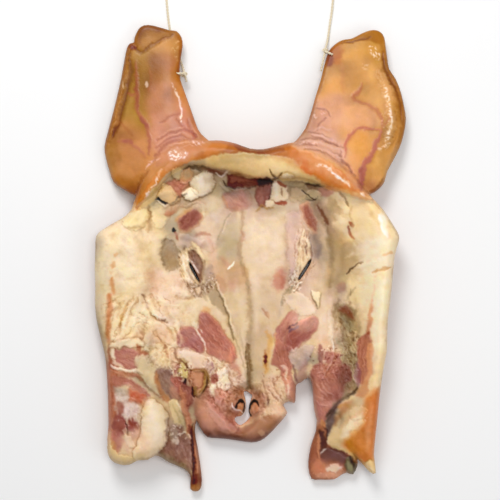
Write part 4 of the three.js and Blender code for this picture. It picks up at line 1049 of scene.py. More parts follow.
stroke("321.4,453.6 323.4,450.4 325.6,448.4", "#e9e0d4", w=0.4, a=0.8, soft=0.5)
fill("314,460 324,460 326,470 318,476 312,472", "#bb6c50", a=0.7, soft=2.5)
fill("326,467 332,463.5 340,464.5 343,468 336,472.5 328,471.5", "#e3c4b6", soft=1.8, lift=0.8, gloss=0.75)
fill("312,462 322,462 324,472 314,476", "#b8664a", a=0.5, soft=3)
fill("318,474 334,473 342,470 338,478 318,480", "#cc8c74", a=0.8, soft=2.0)
flecks("314,468 344,466 340,478 316,479", "#f0b49c", 16, (0.4, 1.2), 0.6, 151)
stroke("311,479 322,480 334,479.5", "#4a231a", w=0.9, a=0.8, soft=0.9)
fill("346,458 352,456 357,464 357,471 352,475 347,471 345,466", "#6a5a44", soft=1.2, lift=0.8)
fill("347,463 351,463 352,470 349,473", "#a39a76", a=0.75, soft=1.5)
stroke("350,456 353,464 354,468", "#3a2a28", w=1.2, a=0.7, soft=1.0)

# -- under the poll: loose bits in the hollow -----------------------------------------------------------
fill("160,170 176,164 200,164 224,170 232,178 226,200 210,214 190,208 172,206 156,204 152,198", "#cbb693", soft=4)
fill("196,192 214,180 226,182 228,200 214,210 200,204", "#d9c9a8", soft=4)
# painted shadow under the rim, along the top of the hollow
fill("170,166 184,163 204,165 222,171 224,176 206,173 190,169 174,170", "#7c6650", soft=2.0, a=0.9)
fill("200,167 214,167 226,170 224,176 212,173", "#a17a60", a=0.85, soft=1.8)
stroke("208,170 216,171 224,173", "#8d4a3c", w=1.0, a=0.6, soft=1.2)
stroke("216,173 222,176 229,171", "#f9f3e8", w=0.8, a=0.95, soft=0.5, lift=0.8)
stroke("186,170 194,170 202,172", "#f3e8d4", w=0.6, a=0.6, soft=0.8)
# left group, with painted shade along their lower edges
fill("171,170 178,166 183,170 183,177 177,180 172,176", "#d2bf98", soft=1.6, lift=2.4, edge=5)
stroke("171,172 172,177 176,180 182,178", "#8f6f4c", w=0.5, a=0.6, soft=1.0)
fill("183,170 190,167.5 193,173 190,181 184,184 180,180", "#dba878", soft=1.8, lift=2.4, edge=5)
fill("184,171 189,170 190,175 185,178", "#eecaa0", soft=1.8, a=0.8)
fill("168,182 177,179 184,181 191,179 189,187 183,195 176,197 171,190", "#b66a52", soft=1.8, lift=2.0, edge=6)
grain("168,182 191,179 183,195 171,190", 130, "#8f4634", "#d8967c", a=0.35, seed=155, soft=2)
stroke("173,182 180,188 184,194", "#8f4838", w=0.7, a=0.5, soft=1.2)
stroke("183,182 188,183 190,180", "#e9b894", w=0.8, a=0.6, soft=1.0)
fill("159,190 165,184 172,187 177,195 179,201 172,205.5 164,203 158,197", "#d8b584", soft=1.6, lift=3.0, edge=7)
fill("163,189 170,189 173,196 168,200 162,196", "#e9cd9c", soft=3, a=0.8)
stroke("164,203 171,205.5 178,202 181,198", "#8a6238", w=0.6, a=0.65, soft=1.2)
# pale lobes, with painted light on top and painted shade along their lower edges
fill("190,180 196,174 205,169.5 212,173 215,180 213,188 207,195 199,197 193,191", "#e3d6ba", soft=1.6, lift=3.6, edge=8)
fill("196,177 204,173 210,178 206,187 198,188", "#f3ead4", soft=3, a=0.85)
stroke("193,191 199,197 207,195.5 213,189 215.5,181", "#9a8564", w=0.7, a=0.65, soft=1.3)
stroke("203,172 206,180 204,188", "#cfbf9e", w=0.8, a=0.45, soft=1.6)
fill("182,193 189,188 196,190 199,196 194,201 186,201", "#f1e6c8", soft=1.4, lift=3.6, edge=6)
fill("186,191 192,190 194,195 188,197", "#fdf6e0", soft=2, a=0.8)
stroke("182,195 186,201.4 194,201.4 199,197", "#94805c", w=0.6, a=0.7, soft=1.0)
stroke("183,190 188,186 190,182", "#8f7450", w=0.6, a=0.6, soft=1.1)
# painted shadow in a dark slot at the far left, and painted light along its edge
fill("155.4,198 157.8,195.4 159.8,198.8 163,201.6 168,203.4 164,204.6 158.6,202 155,200", "#1c0e09", soft=0.6, wob=0.3)
stroke("156,200.5 160,203.4 165,206 169,205.4", "#f4ead6", w=0.7, a=0.9, soft=0.5, lift=0.8)
stroke("168,204.6 174,202.6 178,198 183,194.6 187,194", "#6a5240", w=0.6, a=0.75, soft=0.8)
fill("163,206 176,203 190,202 200,199 204,205 184,208 168,212", "#c9ac8c", soft=2.5, a=0.8)
stroke("199,200 206,197 213,193 218,186", "#b5a282", w=0.9, a=0.5, soft=1.6)
fill("214,178 224,180 226,194 216,198", "#cbb998", a=0.8, soft=3)
# dark muscles under the middle of the poll
fill("226,176 234,172.5 246,172.5 258,176.5 263,181 258,186 246,188 236,189 229,184", "#74382a", soft=1.6)
fill("230,176 244,175 250,180 242,184 232,182", "#8c4b3c", soft=2, a=0.9, lift=0.8)
grain("228,176 246,173 262,181 246,188 229,184", 10, "#5a281e", "#a3624e", a=0.4, seed=159)
stroke("223,180 228,186 236,189.4 246,189 256,186", "#3a1c16", w=0.7, a=0.8, soft=0.8)
stroke("227,186.5 237,190.6 247,188.6", "#d9c2a8", w=0.6, a=0.7, soft=0.6, lift=0.6)
stroke("219,182 224,187 230,190.6", "#ecdcc0", w=0.8, a=0.7, soft=0.8, lift=0.8)
fill("224,194 234,190.6 246,191.6 251,198 248,206 236,210 226,206 222,200", "#b88270", soft=3.6, lift=0.6)
fill("226,196 234,193 238,200 230,206", "#c29280", soft=3, a=0.8)
grain("226,193 247,193 246,207 226,205", 40, "#97584a", "#d3a48c", a=0.3, seed=161, soft=2.5)
stroke("223,195 226,203 230,209", "#d6a070", w=1.0, a=0.6, soft=1.4)
fill("246,190 260,188 266,198 258,206 248,202", "#b48e74", a=0.7, soft=3)
fill("257,182 262,179 269,178 271.6,181.4 267,184.6 260,186", "#34190f", soft=1.6, a=0.9)
fill("257,187 263,185 270,184 271,192 268.5,200 264,206 259,204 255,196", "#8f5346", soft=1.4, lift=1.4)
fill("256,192 262,190 264,198 259,202", "#a4665a", soft=2, a=0.8)
grain("257,187 270,185 268,202 258,203", 100, "#5c2c24", "#b67a6c", a=0.4, seed=163)
stroke("270.6,180 271,190 268.6,199", "#3a1f1a", w=0.5, a=0.8, soft=0.7)
fill("272,182 277,181 280,186 286,188 288,198 281,201 271,199.6 270.6,191", "#ead9bd", soft=1.2, lift=1.6)
fill("273,184 277,184 278,192 274,196", "#f8efdc", soft=1.5, a=0.85)
fill("277,181.4 283,182.4 288,184.6 285,187.4 280,186", "#a45c42", soft=1.1)
stroke("281,188.6 280.4,193 281.4,196", "#8f5d44", w=0.5, a=0.8, soft=0.6)
fill("274,201.4 280,200.4 287,201.6 285,204 276,204", "#9e4836", soft=0.9)
fill("267,201 272,200.6 274,205 271,208.6 267,207", "#ebdcc0", soft=1.0, lift=1.8)
stroke("255.4,210.8 259,208.6 262,204.6 264,206 268,208 274,207.6", "#a9783e", w=0.7, a=0.8, soft=0.8, lift=0.8)
fill("290,183 300,182 307,187 306,194 298,197 290,194", "#a88e6a", soft=2.2, lift=1.0)
fill("291,190 300,188 306,194 303,200 292,200", "#cdb693", soft=2.4, lift=0.8, a=0.85)
fill("306,190 313,188 321,193 319,199.6 311,199.6 306,195", "#bfab88", soft=1.5, lift=1.8)
stroke("306,191 313,189 320,193", "#e3d4b4", w=0.8, a=0.7, soft=1.0)
fill("280,178 290,177 298,180 304,184 296,186.6 286,184.4", "#d9c59c", soft=1.4, a=0.85)
stroke("302,190.6 308,195 314,200.4", "#3a2820", w=0.5, a=0.85, soft=0.6, lift=-0.8)
stroke("306,199.6 310,201.6 314,200.4 318,197", "#4c382c", w=0.5, a=0.75, soft=0.6)
fill("307,182 316,182.6 324,186 319,187 312,186.2 307,184.6", "#45301f", soft=1.2, a=0.8)
fill("307,184 316,186 322,190 314,190 307,188", "#8d6a50", soft=1.5, a=0.8)
fill("320,188 330,187 335,191 328,197 321,196", "#b3806c", a=0.85, soft=1.8)
stroke("322,186 328,189 336,191", "#dcae9a", w=0.7, a=0.6, soft=0.8)

# -- painted form shade over the face: shade in the valleys, light on the ridges -----------------
# painted shade in the hollow under the poll
shade_line("176,167 200,166 220,173 236,176 262,180 300,182 330,189", 0.30, w=0.8, soft=3.0)
shade("206,178 226,176 228,196 214,198", 0.10, soft=4)
shade("222,206 262,206 290,204 300,214 262,222 230,222", 0.07, soft=6)
# left cheek
shade("92,285 104,286 106,345 101,350 94,320", 0.14, soft=4)
shade_line("106,244 108,262 106,290 104,330", -0.20, w=1.0, soft=3.0)
shade("110,232 140,224 148,240 132,262 112,262", -0.22, soft=9)
shade("112,264 138,264 142,284 120,288", -0.25, soft=7)
shade_line("150,206 149.5,218 150,232", 0.16, w=0.8, soft=2.5)
shade_line("144,236 140,226 130,228", 0.12, w=0.8, soft=2.5)
shade_line("136,238 148,250 152,272 146,290 138,304", 0.12, w=2.0, soft=6.0)
shade_line("165,238 163,246 162,258 165,266", 0.14, w=0.4, soft=2.2)
shade("156,268 178,270 180,290 162,292", -0.22, soft=7)
shade_line("180,238 194,242 206,246", 0.10, w=1.0, soft=3.0)
shade_line("182,232 196,238 208,238", -0.25, w=1.0, soft=3.0)
# centre panels
shade_line("243,212 241,235 239.5,255 244,270 248,287 249,310 249.5,332 249,352 249,380", 0.08, w=0.8, soft=4.5, w2=2.0, lift=-0.8)
shade_line("253,212 252,240 254,268 257,300 256,330", -0.22, w=2.2, soft=6.0)
shade_line("236,280 240,300 243,320 245,345", -0.16, w=1.5, soft=4.5)
shade("222,236 238,236 239,256 222,256", 0.07, soft=5)
shade("256,226 284,226 284,262 262,268", -0.22, soft=10)
shade_line("286,222 285,240 287,258 286,270", 0.08, w=0.8, soft=3.0)
shade("256,330 270,330 268,380 254,384", 0.07, soft=6)
# right of centre
shade_line("318,202 326,220 332,244 332,268 328,292", 0.17, w=2.5, soft=7.0)
shade_line("324,236 324,262 320,286", -0.16, w=1.2, soft=4.0)
shade_line("336,226 342,244 342,266 336,286 334,306", 0.12, w=2.0, soft=5.0)
shade_line("352,236 360,250 361,268 354,280", 0.06, w=1.5, soft=5.0)
shade("362,236 394,238 390,300 366,300 358,262", -0.28, soft=9)
shade("374,290 386,290 383,350 372,350", -0.25, soft=5)
shade_line("356,300 360,320 358,340", 0.10, w=1.5, soft=4.0)
shade("334,306 352,310 356,350 348,388 336,378 334,340", 0.16, soft=6)
shade_line("349,306 358,318 359,340", 0.16, w=0.8, soft=3.0)
shade_line("310,290 300,296 288,298", -0.16, w=2.0, soft=5.0)
shade_line("326,292 325,314 322,332", -0.16, w=1.6, soft=4.0)
# painted shade along the cut edge all round, where it turns down; the strokes after it give the skin's own brown there
for line in (
    "134,204.5 126,215 114.4,222 103,229 96.4,235.5 95.6,250",
    "372.5,198 383.6,210.4 393.6,226.4 398.8,236 395,255 392.6,277 390.2,300 388,318 387,336 387,350",
    "383.5,369 380.1,392",
    "94.9,306 97.4,323.5 101.4,340 104.9,355 106.6,370 107.8,392 108.4,418",
    "107.2,440 107.8,452 111.2,459.6 119,464 129.4,464.2 137.4,460 147.7,459.4 155.8,455 162,457.6 169,462 179.5,466.4 187.4,471 190.4,478",
    "207,436.6 217.8,437.8 240,440.6 251.5,442 260.7,440.2 268.7,434.3 277.9,424.6 284,417.6",
):
    shade_line(line, 0.42, w=0.2, soft=1.3, wob=0.2)
stroke("134,204.6 126,214.4 114.4,221.6 103,228.6 97,234.6", "#8a5530", w=0.9, a=0.9, soft=0.9, wob=0.3)
stroke("96.6,235 95.8,242 95.6,252 95,262", "#5d3a22", w=0.5, a=0.8, soft=0.9, wob=0.3)

# painted shade and light over the swells and hollows of the boned face, one by one
for blob in (
    # cheek on the left, its outer strip and its folded fat
    (120, 252, 13, 9, 0.06), (120, 284, 9, 9, 0.05), (142, 284, 10, 8, 0.05), (150, 252, 6, 12, -0.08), (97, 285, 4, 20, -0.10),
    (160, 300, 13, 6, -0.10), (146, 312, 14, 6, -0.12), (128, 322, 10, 6, -0.06), (149, 350, 5, 13, 0.14), (118, 350, 10, 7, 0.06),
    (168, 240, 7, 8, 0.02), (189, 236, 9, 5, 0.18), (184, 246, 6, 5, 0.13), (172, 226, 8, 6, 0.08), (206, 268, 5, 8, 0.12),
    (192, 284, 10, 4, 0.12), (206, 288, 6, 4, 0.10), (204, 216, 5, 8, -0.07), (218, 226, 4, 9, 0.08), (204, 242, 5, 5, -0.06),
    (158, 270, 5, 7, 0.04), (195, 334, 6, 6, -0.06), (190, 322, 5, 5, -0.08),
    # between the eyes and down the nose
    (240, 214, 5, 14, -0.09), (240, 240, 3, 14, -0.07), (247, 272, 4, 14, -0.09), (248, 310, 3, 22, -0.10), (232, 300, 5, 10, 0.02),
    (262, 222, 14, 6, -0.05), (284, 214, 6, 5, -0.13), (284, 236, 5, 14, -0.06), (276, 272, 8, 7, -0.07), (262, 308, 5, 6, 0.05),
    (220, 318, 8, 7, -0.08), (230, 322, 4, 12, -0.06), (232, 352, 4, 10, -0.12), (220, 364, 10, 5, -0.08), (246, 384, 5, 6, 0.10),
    (275, 342, 6, 8, -0.10), (262, 350, 8, 10, -0.05), (256, 354, 4, 4, 0.03),
    # right of the eyes: the valley and the fat beyond it
    (314, 212, 5, 12, 0.12), (319, 230, 4, 10, 0.13), (322, 254, 5, 12, 0.13), (298, 268, 6, 9, 0.11), (308, 246, 7, 8, 0.07),
    (332, 208, 5, 8, 0.10), (352, 226, 4, 6, 0.04), (348, 238, 12, 5, -0.14), (362, 252, 9, 14, -0.10), (366, 276, 8, 14, -0.12),
    (330, 272, 4, 8, -0.09), (342, 290, 5, 9, 0.13), (346, 276, 4, 6, 0.08), (368, 306, 8, 16, -0.06), (326, 298, 5, 6, 0.05),
    (312, 292, 5, 8, -0.09), (304, 318, 9, 5, -0.20, -30), (316, 330, 5, 12, -0.07), (290, 318, 8, 8, -0.06), (338, 318, 4, 10, -0.05),
    (354, 332, 4, 12, -0.16), (368, 332, 4, 8, 0.09), (372, 200, 12, 6, -0.10), (368, 222, 5, 10, -0.06), (330, 192, 8, 4, -0.06),
    # lower right: membrane, hanging muscle, the twisted jowl
    (312, 358, 8, 7, 0.20), (298, 364, 4, 7, 0.12), (334, 352, 5, 4, -0.10), (341, 366, 5, 8, -0.12), (330, 384, 12, 5, 0.05),
    (338, 398, 6, 4, 0.12), (348, 408, 12, 5, 0.12, -38), (338, 420, 8, 6, 0.18), (328, 430, 5, 6, 0.10), (335, 446, 12, 5, 0.12),
    (354, 458, 4, 7, 0.14), (360, 424, 6, 5, -0.12), (346, 430, 8, 6, -0.05), (360, 446, 10, 10, -0.07), (330, 470, 9, 5, -0.16),
    (370, 396, 4, 6, -0.10), (376, 356, 5, 12, -0.05), (366, 376, 6, 10, 0.04), (318, 464, 6, 8, -0.07),
    # lower left: muscle band, mound, strand
    (140, 380, 10, 5, 0.18, 30), (152, 388, 10, 5, 0.16, 35), (118, 390, 6, 6, 0.10), (174, 388, 5, 6, -0.09), (134, 394, 7, 4, -0.07, 30),
    (186, 386, 4, 8, 0.13), (192, 404, 4, 16, 0.12), (182, 422, 5, 14, 0.15), (174, 438, 6, 6, 0.10), (198, 480, 4, 10, 0.15),
    (160, 396, 6, 4, 0.10), (148, 420, 8, 8, 0.04), (138, 444, 6, 4, -0.14), (110, 440, 4, 10, -0.10), (130, 424, 8, 4, -0.05),
    (188, 460, 6, 8, -0.06), (150, 366, 18, 6, 0.05), (172, 368, 6, 8, 0.06), (182, 360, 4, 3, -0.08),
    # snout
    (222, 392, 6, 7, -0.18), (208, 410, 8, 10, -0.10), (228, 408, 5, 6, 0.08), (288, 386, 4, 16, -0.13), (278, 398, 8, 6, -0.05),
    (278, 414, 10, 5, -0.13), (226, 420, 14, 5, -0.05), (268, 406, 6, 6, 0.08), (250, 376, 6, 6, 0.06), (220, 432, 8, 3, 0.03),
):
    form_shade(*blob)
for blob in (
    # painted shade and light in the hollow under the poll and on what lies in it
    (228, 192, 7, 6, 0.14), (292, 186, 8, 4, 0.14), (155, 206, 8, 5, 0.16), (165, 196, 9, 4, 0.10), (188, 204, 7, 4, 0.10),
    (140, 206, 6, 5, 0.10), (310, 205, 5, 8, 0.10), (316, 224, 5, 10, 0.10), (322, 258, 5, 14, 0.08), (330, 212, 8, 4, 0.10, 40),
    (350, 228, 5, 5, 0.12), (312, 183, 10, 4, 0.08), (283, 216, 8, 6, -0.12), (266, 216, 8, 4, -0.05), (205, 214, 6, 7, -0.07),
    (348, 241, 8, 5, -0.10), (336, 196, 7, 4, -0.09), (353, 196, 9, 6, -0.12), (366, 264, 8, 16, -0.10), (362, 286, 5, 9, -0.08),
    (330, 273, 4, 7, -0.09), (146, 247, 6, 10, -0.07), (160, 249, 5, 8, -0.05), (184, 252, 4, 5, 0.16), (173, 232, 5, 4, 0.08),
    (192, 238, 6, 6, 0.06), (205, 286, 8, 8, 0.06), (118, 256, 14, 7, 0.06), (292, 278, 7, 7, 0.16), (290, 296, 5, 4, 0.09),
    (342, 294, 8, 9, 0.15), (354, 312, 5, 22, 0.05), (366, 330, 4, 14, 0.06), (240, 222, 3, 18, -0.04), (243, 268, 4, 12, -0.04),
    # painted shade and light over the lower half
    (151, 317, 5, 5, -0.14), (140, 318, 9, 8, -0.12), (302, 320, 8, 5, -0.20, -25), (312, 298, 7, 6, -0.10), (160, 300, 14, 6, -0.05),
    (320, 330, 8, 8, -0.05), (171, 318, 7, 5, 0.08), (198, 325, 4, 7, 0.10), (110, 338, 6, 4, 0.08), (149, 342, 9, 4, 0.08),
    (231, 354, 4, 7, -0.10), (218, 361, 8, 4, -0.05), (355, 338, 4, 6, -0.10), (336, 354, 4, 4, -0.09), (342, 342, 5, 5, 0.10),
    (356, 366, 5, 14, 0.08), (312, 359, 8, 5, 0.18), (296, 366, 4, 6, 0.08), (286, 380, 6, 8, -0.08), (275, 340, 4, 8, -0.05),
    (140, 378, 14, 5, 0.06, 20), (188, 385, 6, 5, 0.12), (192, 410, 4, 9, 0.12), (185, 426, 3, 10, 0.12), (126, 437, 6, 4, 0.08),
    (122, 391, 8, 5, 0.08), (221, 396, 8, 7, -0.08), (227, 418, 6, 4, -0.10), (264, 415, 8, 10, -0.04), (136, 446, 6, 4, -0.06),
    (330, 396, 13, 7, 0.10), (335, 424, 5, 6, 0.14), (353, 461, 4, 8, 0.12), (358, 403, 6, 6, 0.06), (353, 389, 4, 5, -0.08),
    (336, 366, 8, 4, -0.05), (324, 443, 4, 4, -0.10), (330, 476, 13, 4, -0.12), (208, 408, 6, 6, 0.06), (268, 405, 6, 5, 0.04),
):
    form_shade(*blob)

for text, colour, a, soft in (
    ("362,244 386,240 391,262 388,300 384,340 376,346 368,300 362,272", "#fbefcf", 0.34, 9),
    ("104,240 124,232 134,246 126,262 106,268", "#f8ecce", 0.26, 9),
    ("98,262 104,262 105,300 103,334 99,320 96.4,300", "#f4e8c8", 0.40, 3),
    ("258,232 280,232 278,262 262,270 254,252", "#f3e3c4", 0.22, 8),
    ("242,214 248,214 247,250 244,262 240,244", "#efdfc0", 0.22, 5),
    ("292,316 312,308 320,322 308,332 296,330", "#f5e2c8", 0.40, 5),
    ("136,308 156,308 158,322 140,328 130,320", "#fbf0d4", 0.34, 6),
    ("204,404 214,398 226,416 236,428 222,428 208,420", "#c98f7c", 0.30, 6),
    ("250,426 268,418 282,410 280,420 264,434 250,438", "#bd8268", 0.25, 5),
):
    fill(text, colour, a=a, soft=soft, wob=0.3)

# -- the rolled poll: fat face and skin ---------------------------------------------------------------
fill("162,181 174,173 186,166 196,161 208,158 216,155 230,153 250,153 272,155 288,157 297,165 310,176 330,187 312,183 298,180 285,181 275,178 262,177 250,179 236,172 222,169 208,166 192,164 178,166 170,174 160,187 148,200 138,210 133,212 148,196", "#e3c88c", soft=1.3)
fill("190,162 214,157 230,157 230,166 214,165 196,164", "#cda468", a=0.8, soft=2.5)
# painted shade along the lower edge of the fat face, where it turns under
fill("228,168 250,170 270,174 262,178 244,177 230,173", "#c9a066", a=0.7, soft=2.5)
fill("176,166 188,161 204,160 206,164 192,164", "#a8937a", a=0.8, soft=2)
fill("236,156 270,157 292,162 300,172 280,172 250,172", "#ebd498", a=0.85, soft=3)
fill("268,156 290,160 296,168 280,168", "#f2dea4", a=0.8, soft=3)
stroke("230,154 246,153.5 262,155 274,156", "#f3e4b4", w=0.9, a=0.7, soft=0.9)
# painted glints on the fat face
flecks("274,153 288,155 288,158 274,157", "#fffaf0", 9, (0.4, 1.1), 0.85, 165)
stroke("264,160 270,166 274,172", "#c7a96c", w=0.7, a=0.5, soft=1.0)
stroke("236,171 246,176 258,177 268,176", "#a67c58", w=1.0, a=0.55, soft=1.2)
fill("202,161 216,157.6 236,156 262,157 284,160 294,166 306,176 292,178 272,176 250,175 234,170.6 216,166.6", "#e2c68d", a=0.85, soft=3, wob=0.3)
fill("246,158 272,159 290,164 299,173 282,173 262,169 246,166", "#efd8a2", a=0.8, soft=4, wob=0.3)
stroke("206,160 228,156.4 250,155.6 272,157.6 288,160.6 298,168 308,176", "#d9a964", w=0.9, a=0.55, soft=1.6, wob=0.3)
melt("196,160 216,156 250,154 286,158 300,168 312,178 290,180 262,178 236,172 210,167", 1.6)
# the puckered crease in it
stroke("269,169 272,174 276,179", "#5f4428", w=0.9, a=0.9, soft=0.7, lift=-1.4)
stroke("282,173 278,177 275,180", "#6c5030", w=0.8, a=0.85, soft=0.7, lift=-1.2)
stroke("272,181 275,178 279,179", "#5f4428", w=0.8, a=0.8, soft=0.7)
fill("284,174 290,173 295,176 292,179 285,179 280,178", "#f0e2c0", soft=0.9, lift=1.2, rim="#a8844e")
# skin along the top of the roll
fill("196,142 211,140 236,143 255,148 272,147 296,141 300,150 297,160 288,157 272,155 250,153 230,153 214,156 200,160 190,158", "#b0622a", soft=1.2)
fill("236,143 255,148 272,147 284,147 282,152 256,153 240,151", "#8f4716", a=0.95, soft=1.2)
stroke("240,145 255,149.5 268,149.5 280,146.5", "#6f3410", w=1.0, a=0.8, soft=1.0)
stroke("212,141 224,141.5 236,144", "#b8621f", w=1.0, a=0.7, soft=1.2)
fill("200,143 214,142 228,145 222,152 206,156", "#d0803f", a=0.8, soft=2)
fill("292,143 302,144 316,150 330,160 346,172 360,187 368,196 352,192 334,186 316,179 304,171 297,163 290,156", "#cf7c46", soft=2.4)
fill("300,150 316,156 334,168 350,182 340,182 320,172 306,164", "#da905e", a=0.8, soft=3.5)
fill("310,172 330,181 350,190 366,197 345,192 322,184", "#cb7434", a=0.8, soft=3)
fill("303,163 306,161 309,166 307,171 304,168", "#cf5e2a", a=0.3, soft=2.0)
stroke("302,166 306,169 311,173", "#dc6a38", w=1.4, a=0.35, soft=1.4)
stroke("294,144 304,150 314,155 328,163 342,174", "#f6b48c", w=0.9, a=0.5, soft=1.0)
# painted highlights along the skin of the roll
stroke("317,165 324,166 330,169 336,174 341,178 347,183 350,188", "#fff2e6", w=1.2, a=0.85, soft=1.2, wob=1.4, gaps=0.5, seed=167, gloss=0.95)
stroke("331,171 337,175.4 343,180.4", "#ffffff", w=0.8, a=0.9, soft=0.9, gloss=0.95)
fill("361,193 365,193.5 366,196 362,196", "#fff8f0", a=0.9, soft=0.7, gloss=0.95)
stroke("326,186 342,191 358,196 368,200", "#f0a468", w=1.2, a=0.7, soft=1.2)
stroke("362,192 372,200 380,209", "#d9945a", w=1.1, a=0.7, soft=1.0)
# left shoulder of the roll
fill("135,206 137,192 141,180 150,168 162,158 176,152 196,157 184,164 172,170 160,181 148,195 138,209", "#c97d42", soft=1.3)
fill("137,196 142,182 150,173 150,182 144,194 138,203", "#b8682c", a=0.85, soft=2)
fill("160,160 178,153 192,158 178,164 166,170", "#cf8a6a", a=0.7, soft=3)
stroke("135,208 142,200 150,190 158,180", "#d48c3c", w=1.2, a=0.7, soft=1.2)
# painted highlights on the shoulder
stroke("146,197.5 149.5,192 152.5,187 155,181 158,177", "#fff4ec", w=0.9, a=0.9, soft=0.8, wob=1.2, gaps=0.5, seed=169, gloss=0.95)
stroke("156,178 160,172 163,168", "#f8d6be", w=0.9, a=0.6, soft=1.0, gaps=0.45, seed=171)
stroke("131,212 138,206 146,199", "#f3c69c", w=0.7, a=0.8, soft=0.6)
stroke("135,203 137,192 141,181 148,171", "#6f3614", w=1.2, a=0.8, soft=1.2, lift=-1.2)
fill("136,210 150,197 160,187 166,184 160,195 152,203 142,208", "#e2c184", a=0.9, soft=1.2)

# painted shade and light over the roll and the hollow below it
for blob in (
    (240, 154, 30, 6, 0.13), (264, 154, 10, 4, 0.12), (226, 162, 20, 5, 0.09), (254, 176, 8, 3, -0.10), (280, 172, 16, 5, -0.06),
    (155, 200, 9, 5, 0.20, -40), (142, 204, 6, 4, 0.12), (150, 182, 9, 4, -0.10, -40), (340, 192, 20, 4, -0.09, 20), (362, 194, 8, 5, -0.08),
    (284, 150, 6, 4, -0.05), (188, 174, 6, 4, 0.12), (172, 176, 6, 4, 0.06), (292, 184, 7, 3, 0.12), (314, 180, 6, 4, 0.06),
    (232, 191, 9, 6, 0.20), (248, 194, 8, 5, 0.12), (226, 184, 6, 4, 0.16),
):
    form_shade(*blob)

fill("206,158 232,159.6 260,162 276,169 262,170.6 240,167 214,163.6", "#d2a86c", a=0.22, soft=3.5, wob=0.3)
fill("262,149 282,149 300,158 313,170 297,168 277,158", "#c67a48", a=0.35, soft=5, wob=0.3)
# more painted shade and light over the roll
for blob in (
    (228, 161, 22, 3, 0.06), (252, 169, 9, 4, 0.08), (180, 155, 9, 4, 0.08), (187, 174, 6, 4, 0.14), (230, 174, 6, 3, -0.06),
    (262, 178, 14, 3, -0.09), (298, 139, 7, 5, 0.12), (212, 142, 14, 3, 0.06), (256, 156, 12, 4, 0.05),
):
    form_shade(*blob)

# -- left ear -------------------------------------------------------------------------------------------
LEFT = "144,25 154,25.5 170,30 177,31 182,37 183,46 181,57 180,69 180.5,80 186,94 192,112 198,129 205,137 212,142 204,150 190,157 172,162 158,172 148,184 140,196 134,197 122,190 112,182 109,171 105,158 104,146 107,132 112,116 116,98 121,79 124,61 126.5,48 130,43 134,42.5 134,38 138,29"
fill(LEFT, "#bd7c45", soft=0.8, wob=0)
fill("128,52 150,54 152,90 146,108 150,125 136,134 122,126 121,108 126,80", "#a97f40", soft=4)
fill("128,96 140,98 148,112 144,122 134,128 124,120", "#bd8d48", a=0.85, soft=4)
fill("128,60 146,66 148,90 138,92 130,82", "#a3743a", a=0.8, soft=3)
fill("137,45 158,42 156,56 142,60 130,56", "#bb8e50", a=0.85, soft=3)
fill("160,36 178,36 178,52 170,60 160,56 152,46", "#cc8f48", a=0.9, soft=3.5)
fill("152,54 172,58 170,80 156,84 152,70", "#b97740", soft=4, a=0.8)
fill("150,54 158,56 158,80 150,84 149,68", "#a5683c", a=0.85, soft=3)
fill("162,56 176,58 176,72 164,70", "#bd6c42", a=0.8, soft=3.5)
fill("150,86 174,82 186,100 194,124 198,134 180,142 160,146 150,132 148,108", "#cf8768", soft=5)
fill("158,116 180,112 184,134 168,148 152,150 152,134", "#bf776a", a=0.8, soft=6)
fill("152,120 166,112 174,124 160,140 152,140", "#d28f76", a=0.8, soft=5)
fill("180,104 190,108 198,130 194,138 182,132", "#c8725c", a=0.8, soft=3)
fill("166,82 180,84 188,100 182,104 172,94", "#cf8352", a=0.75, soft=3)
fill("176,80 182,82 188,98 194,116 188,112 180,98", "#bf7134", a=0.8, soft=2)
fill("112,136 124,120 138,128 148,140 150,156 136,160 118,154", "#c58552", soft=5)
fill("118,150 146,152 156,162 150,176 130,180 114,170", "#cb8654", soft=5)
fill("122,134 144,138 148,156 126,158", "#c98058", a=0.6, soft=6)
fill("108,140 116,138 118,160 112,172 106,158", "#a3713e", a=0.85, soft=3)
fill("110,172 130,178 146,176 144,190 136,197 120,190 110,182", "#a9662e", soft=3.5)
fill("124,186 138,184 138,197 128,194", "#8c4a24", a=0.85, soft=2.5)
fill("154,150 176,144 196,142 206,146 190,156 170,162 156,168", "#c67f60", soft=3.5)
fill("176,142 200,138 212,142 200,150 184,152", "#cc7e58", a=0.85, soft=3)
melt(LEFT, 3.4)
mottle(LEFT, "#9a6236", "#dda878", scale=7, a=0.16, seed=173, soft=1)
# painted shade and light over the left ear's forms
for blob in (
    (158, 62, 17, 12, 0.20), (148, 86, 8, 11, 0.16), (168, 94, 8, 9, 0.22), (150, 30, 16, 7, 0.12), (172, 34, 8, 8, 0.12),
    (138, 70, 9, 14, 0.08), (140, 108, 22, 14, 0.07), (118, 134, 11, 6, 0.14), (176, 128, 14, 12, 0.09), (192, 118, 6, 12, 0.10),
    (196, 138, 10, 5, 0.10), (152, 152, 12, 8, -0.06), (120, 168, 8, 6, -0.07), (140, 145, 8, 6, -0.04), (178, 154, 8, 6, -0.05),
):
    form_shade(*blob)
# dark right edge, string stain
stroke("179,36 181.5,46 180.5,57 178.5,66 178.5,76 181,84", "#a2561c", w=2.0, a=0.9, soft=2.0)
stroke("180.8,50 179.5,60 178.6,70 179,76", "#6a2a0c", w=1.0, a=0.9, soft=1.1)
fill("174,66 180,66 180,80 175,82 171,74", "#b2682c", a=0.6, soft=2.5)
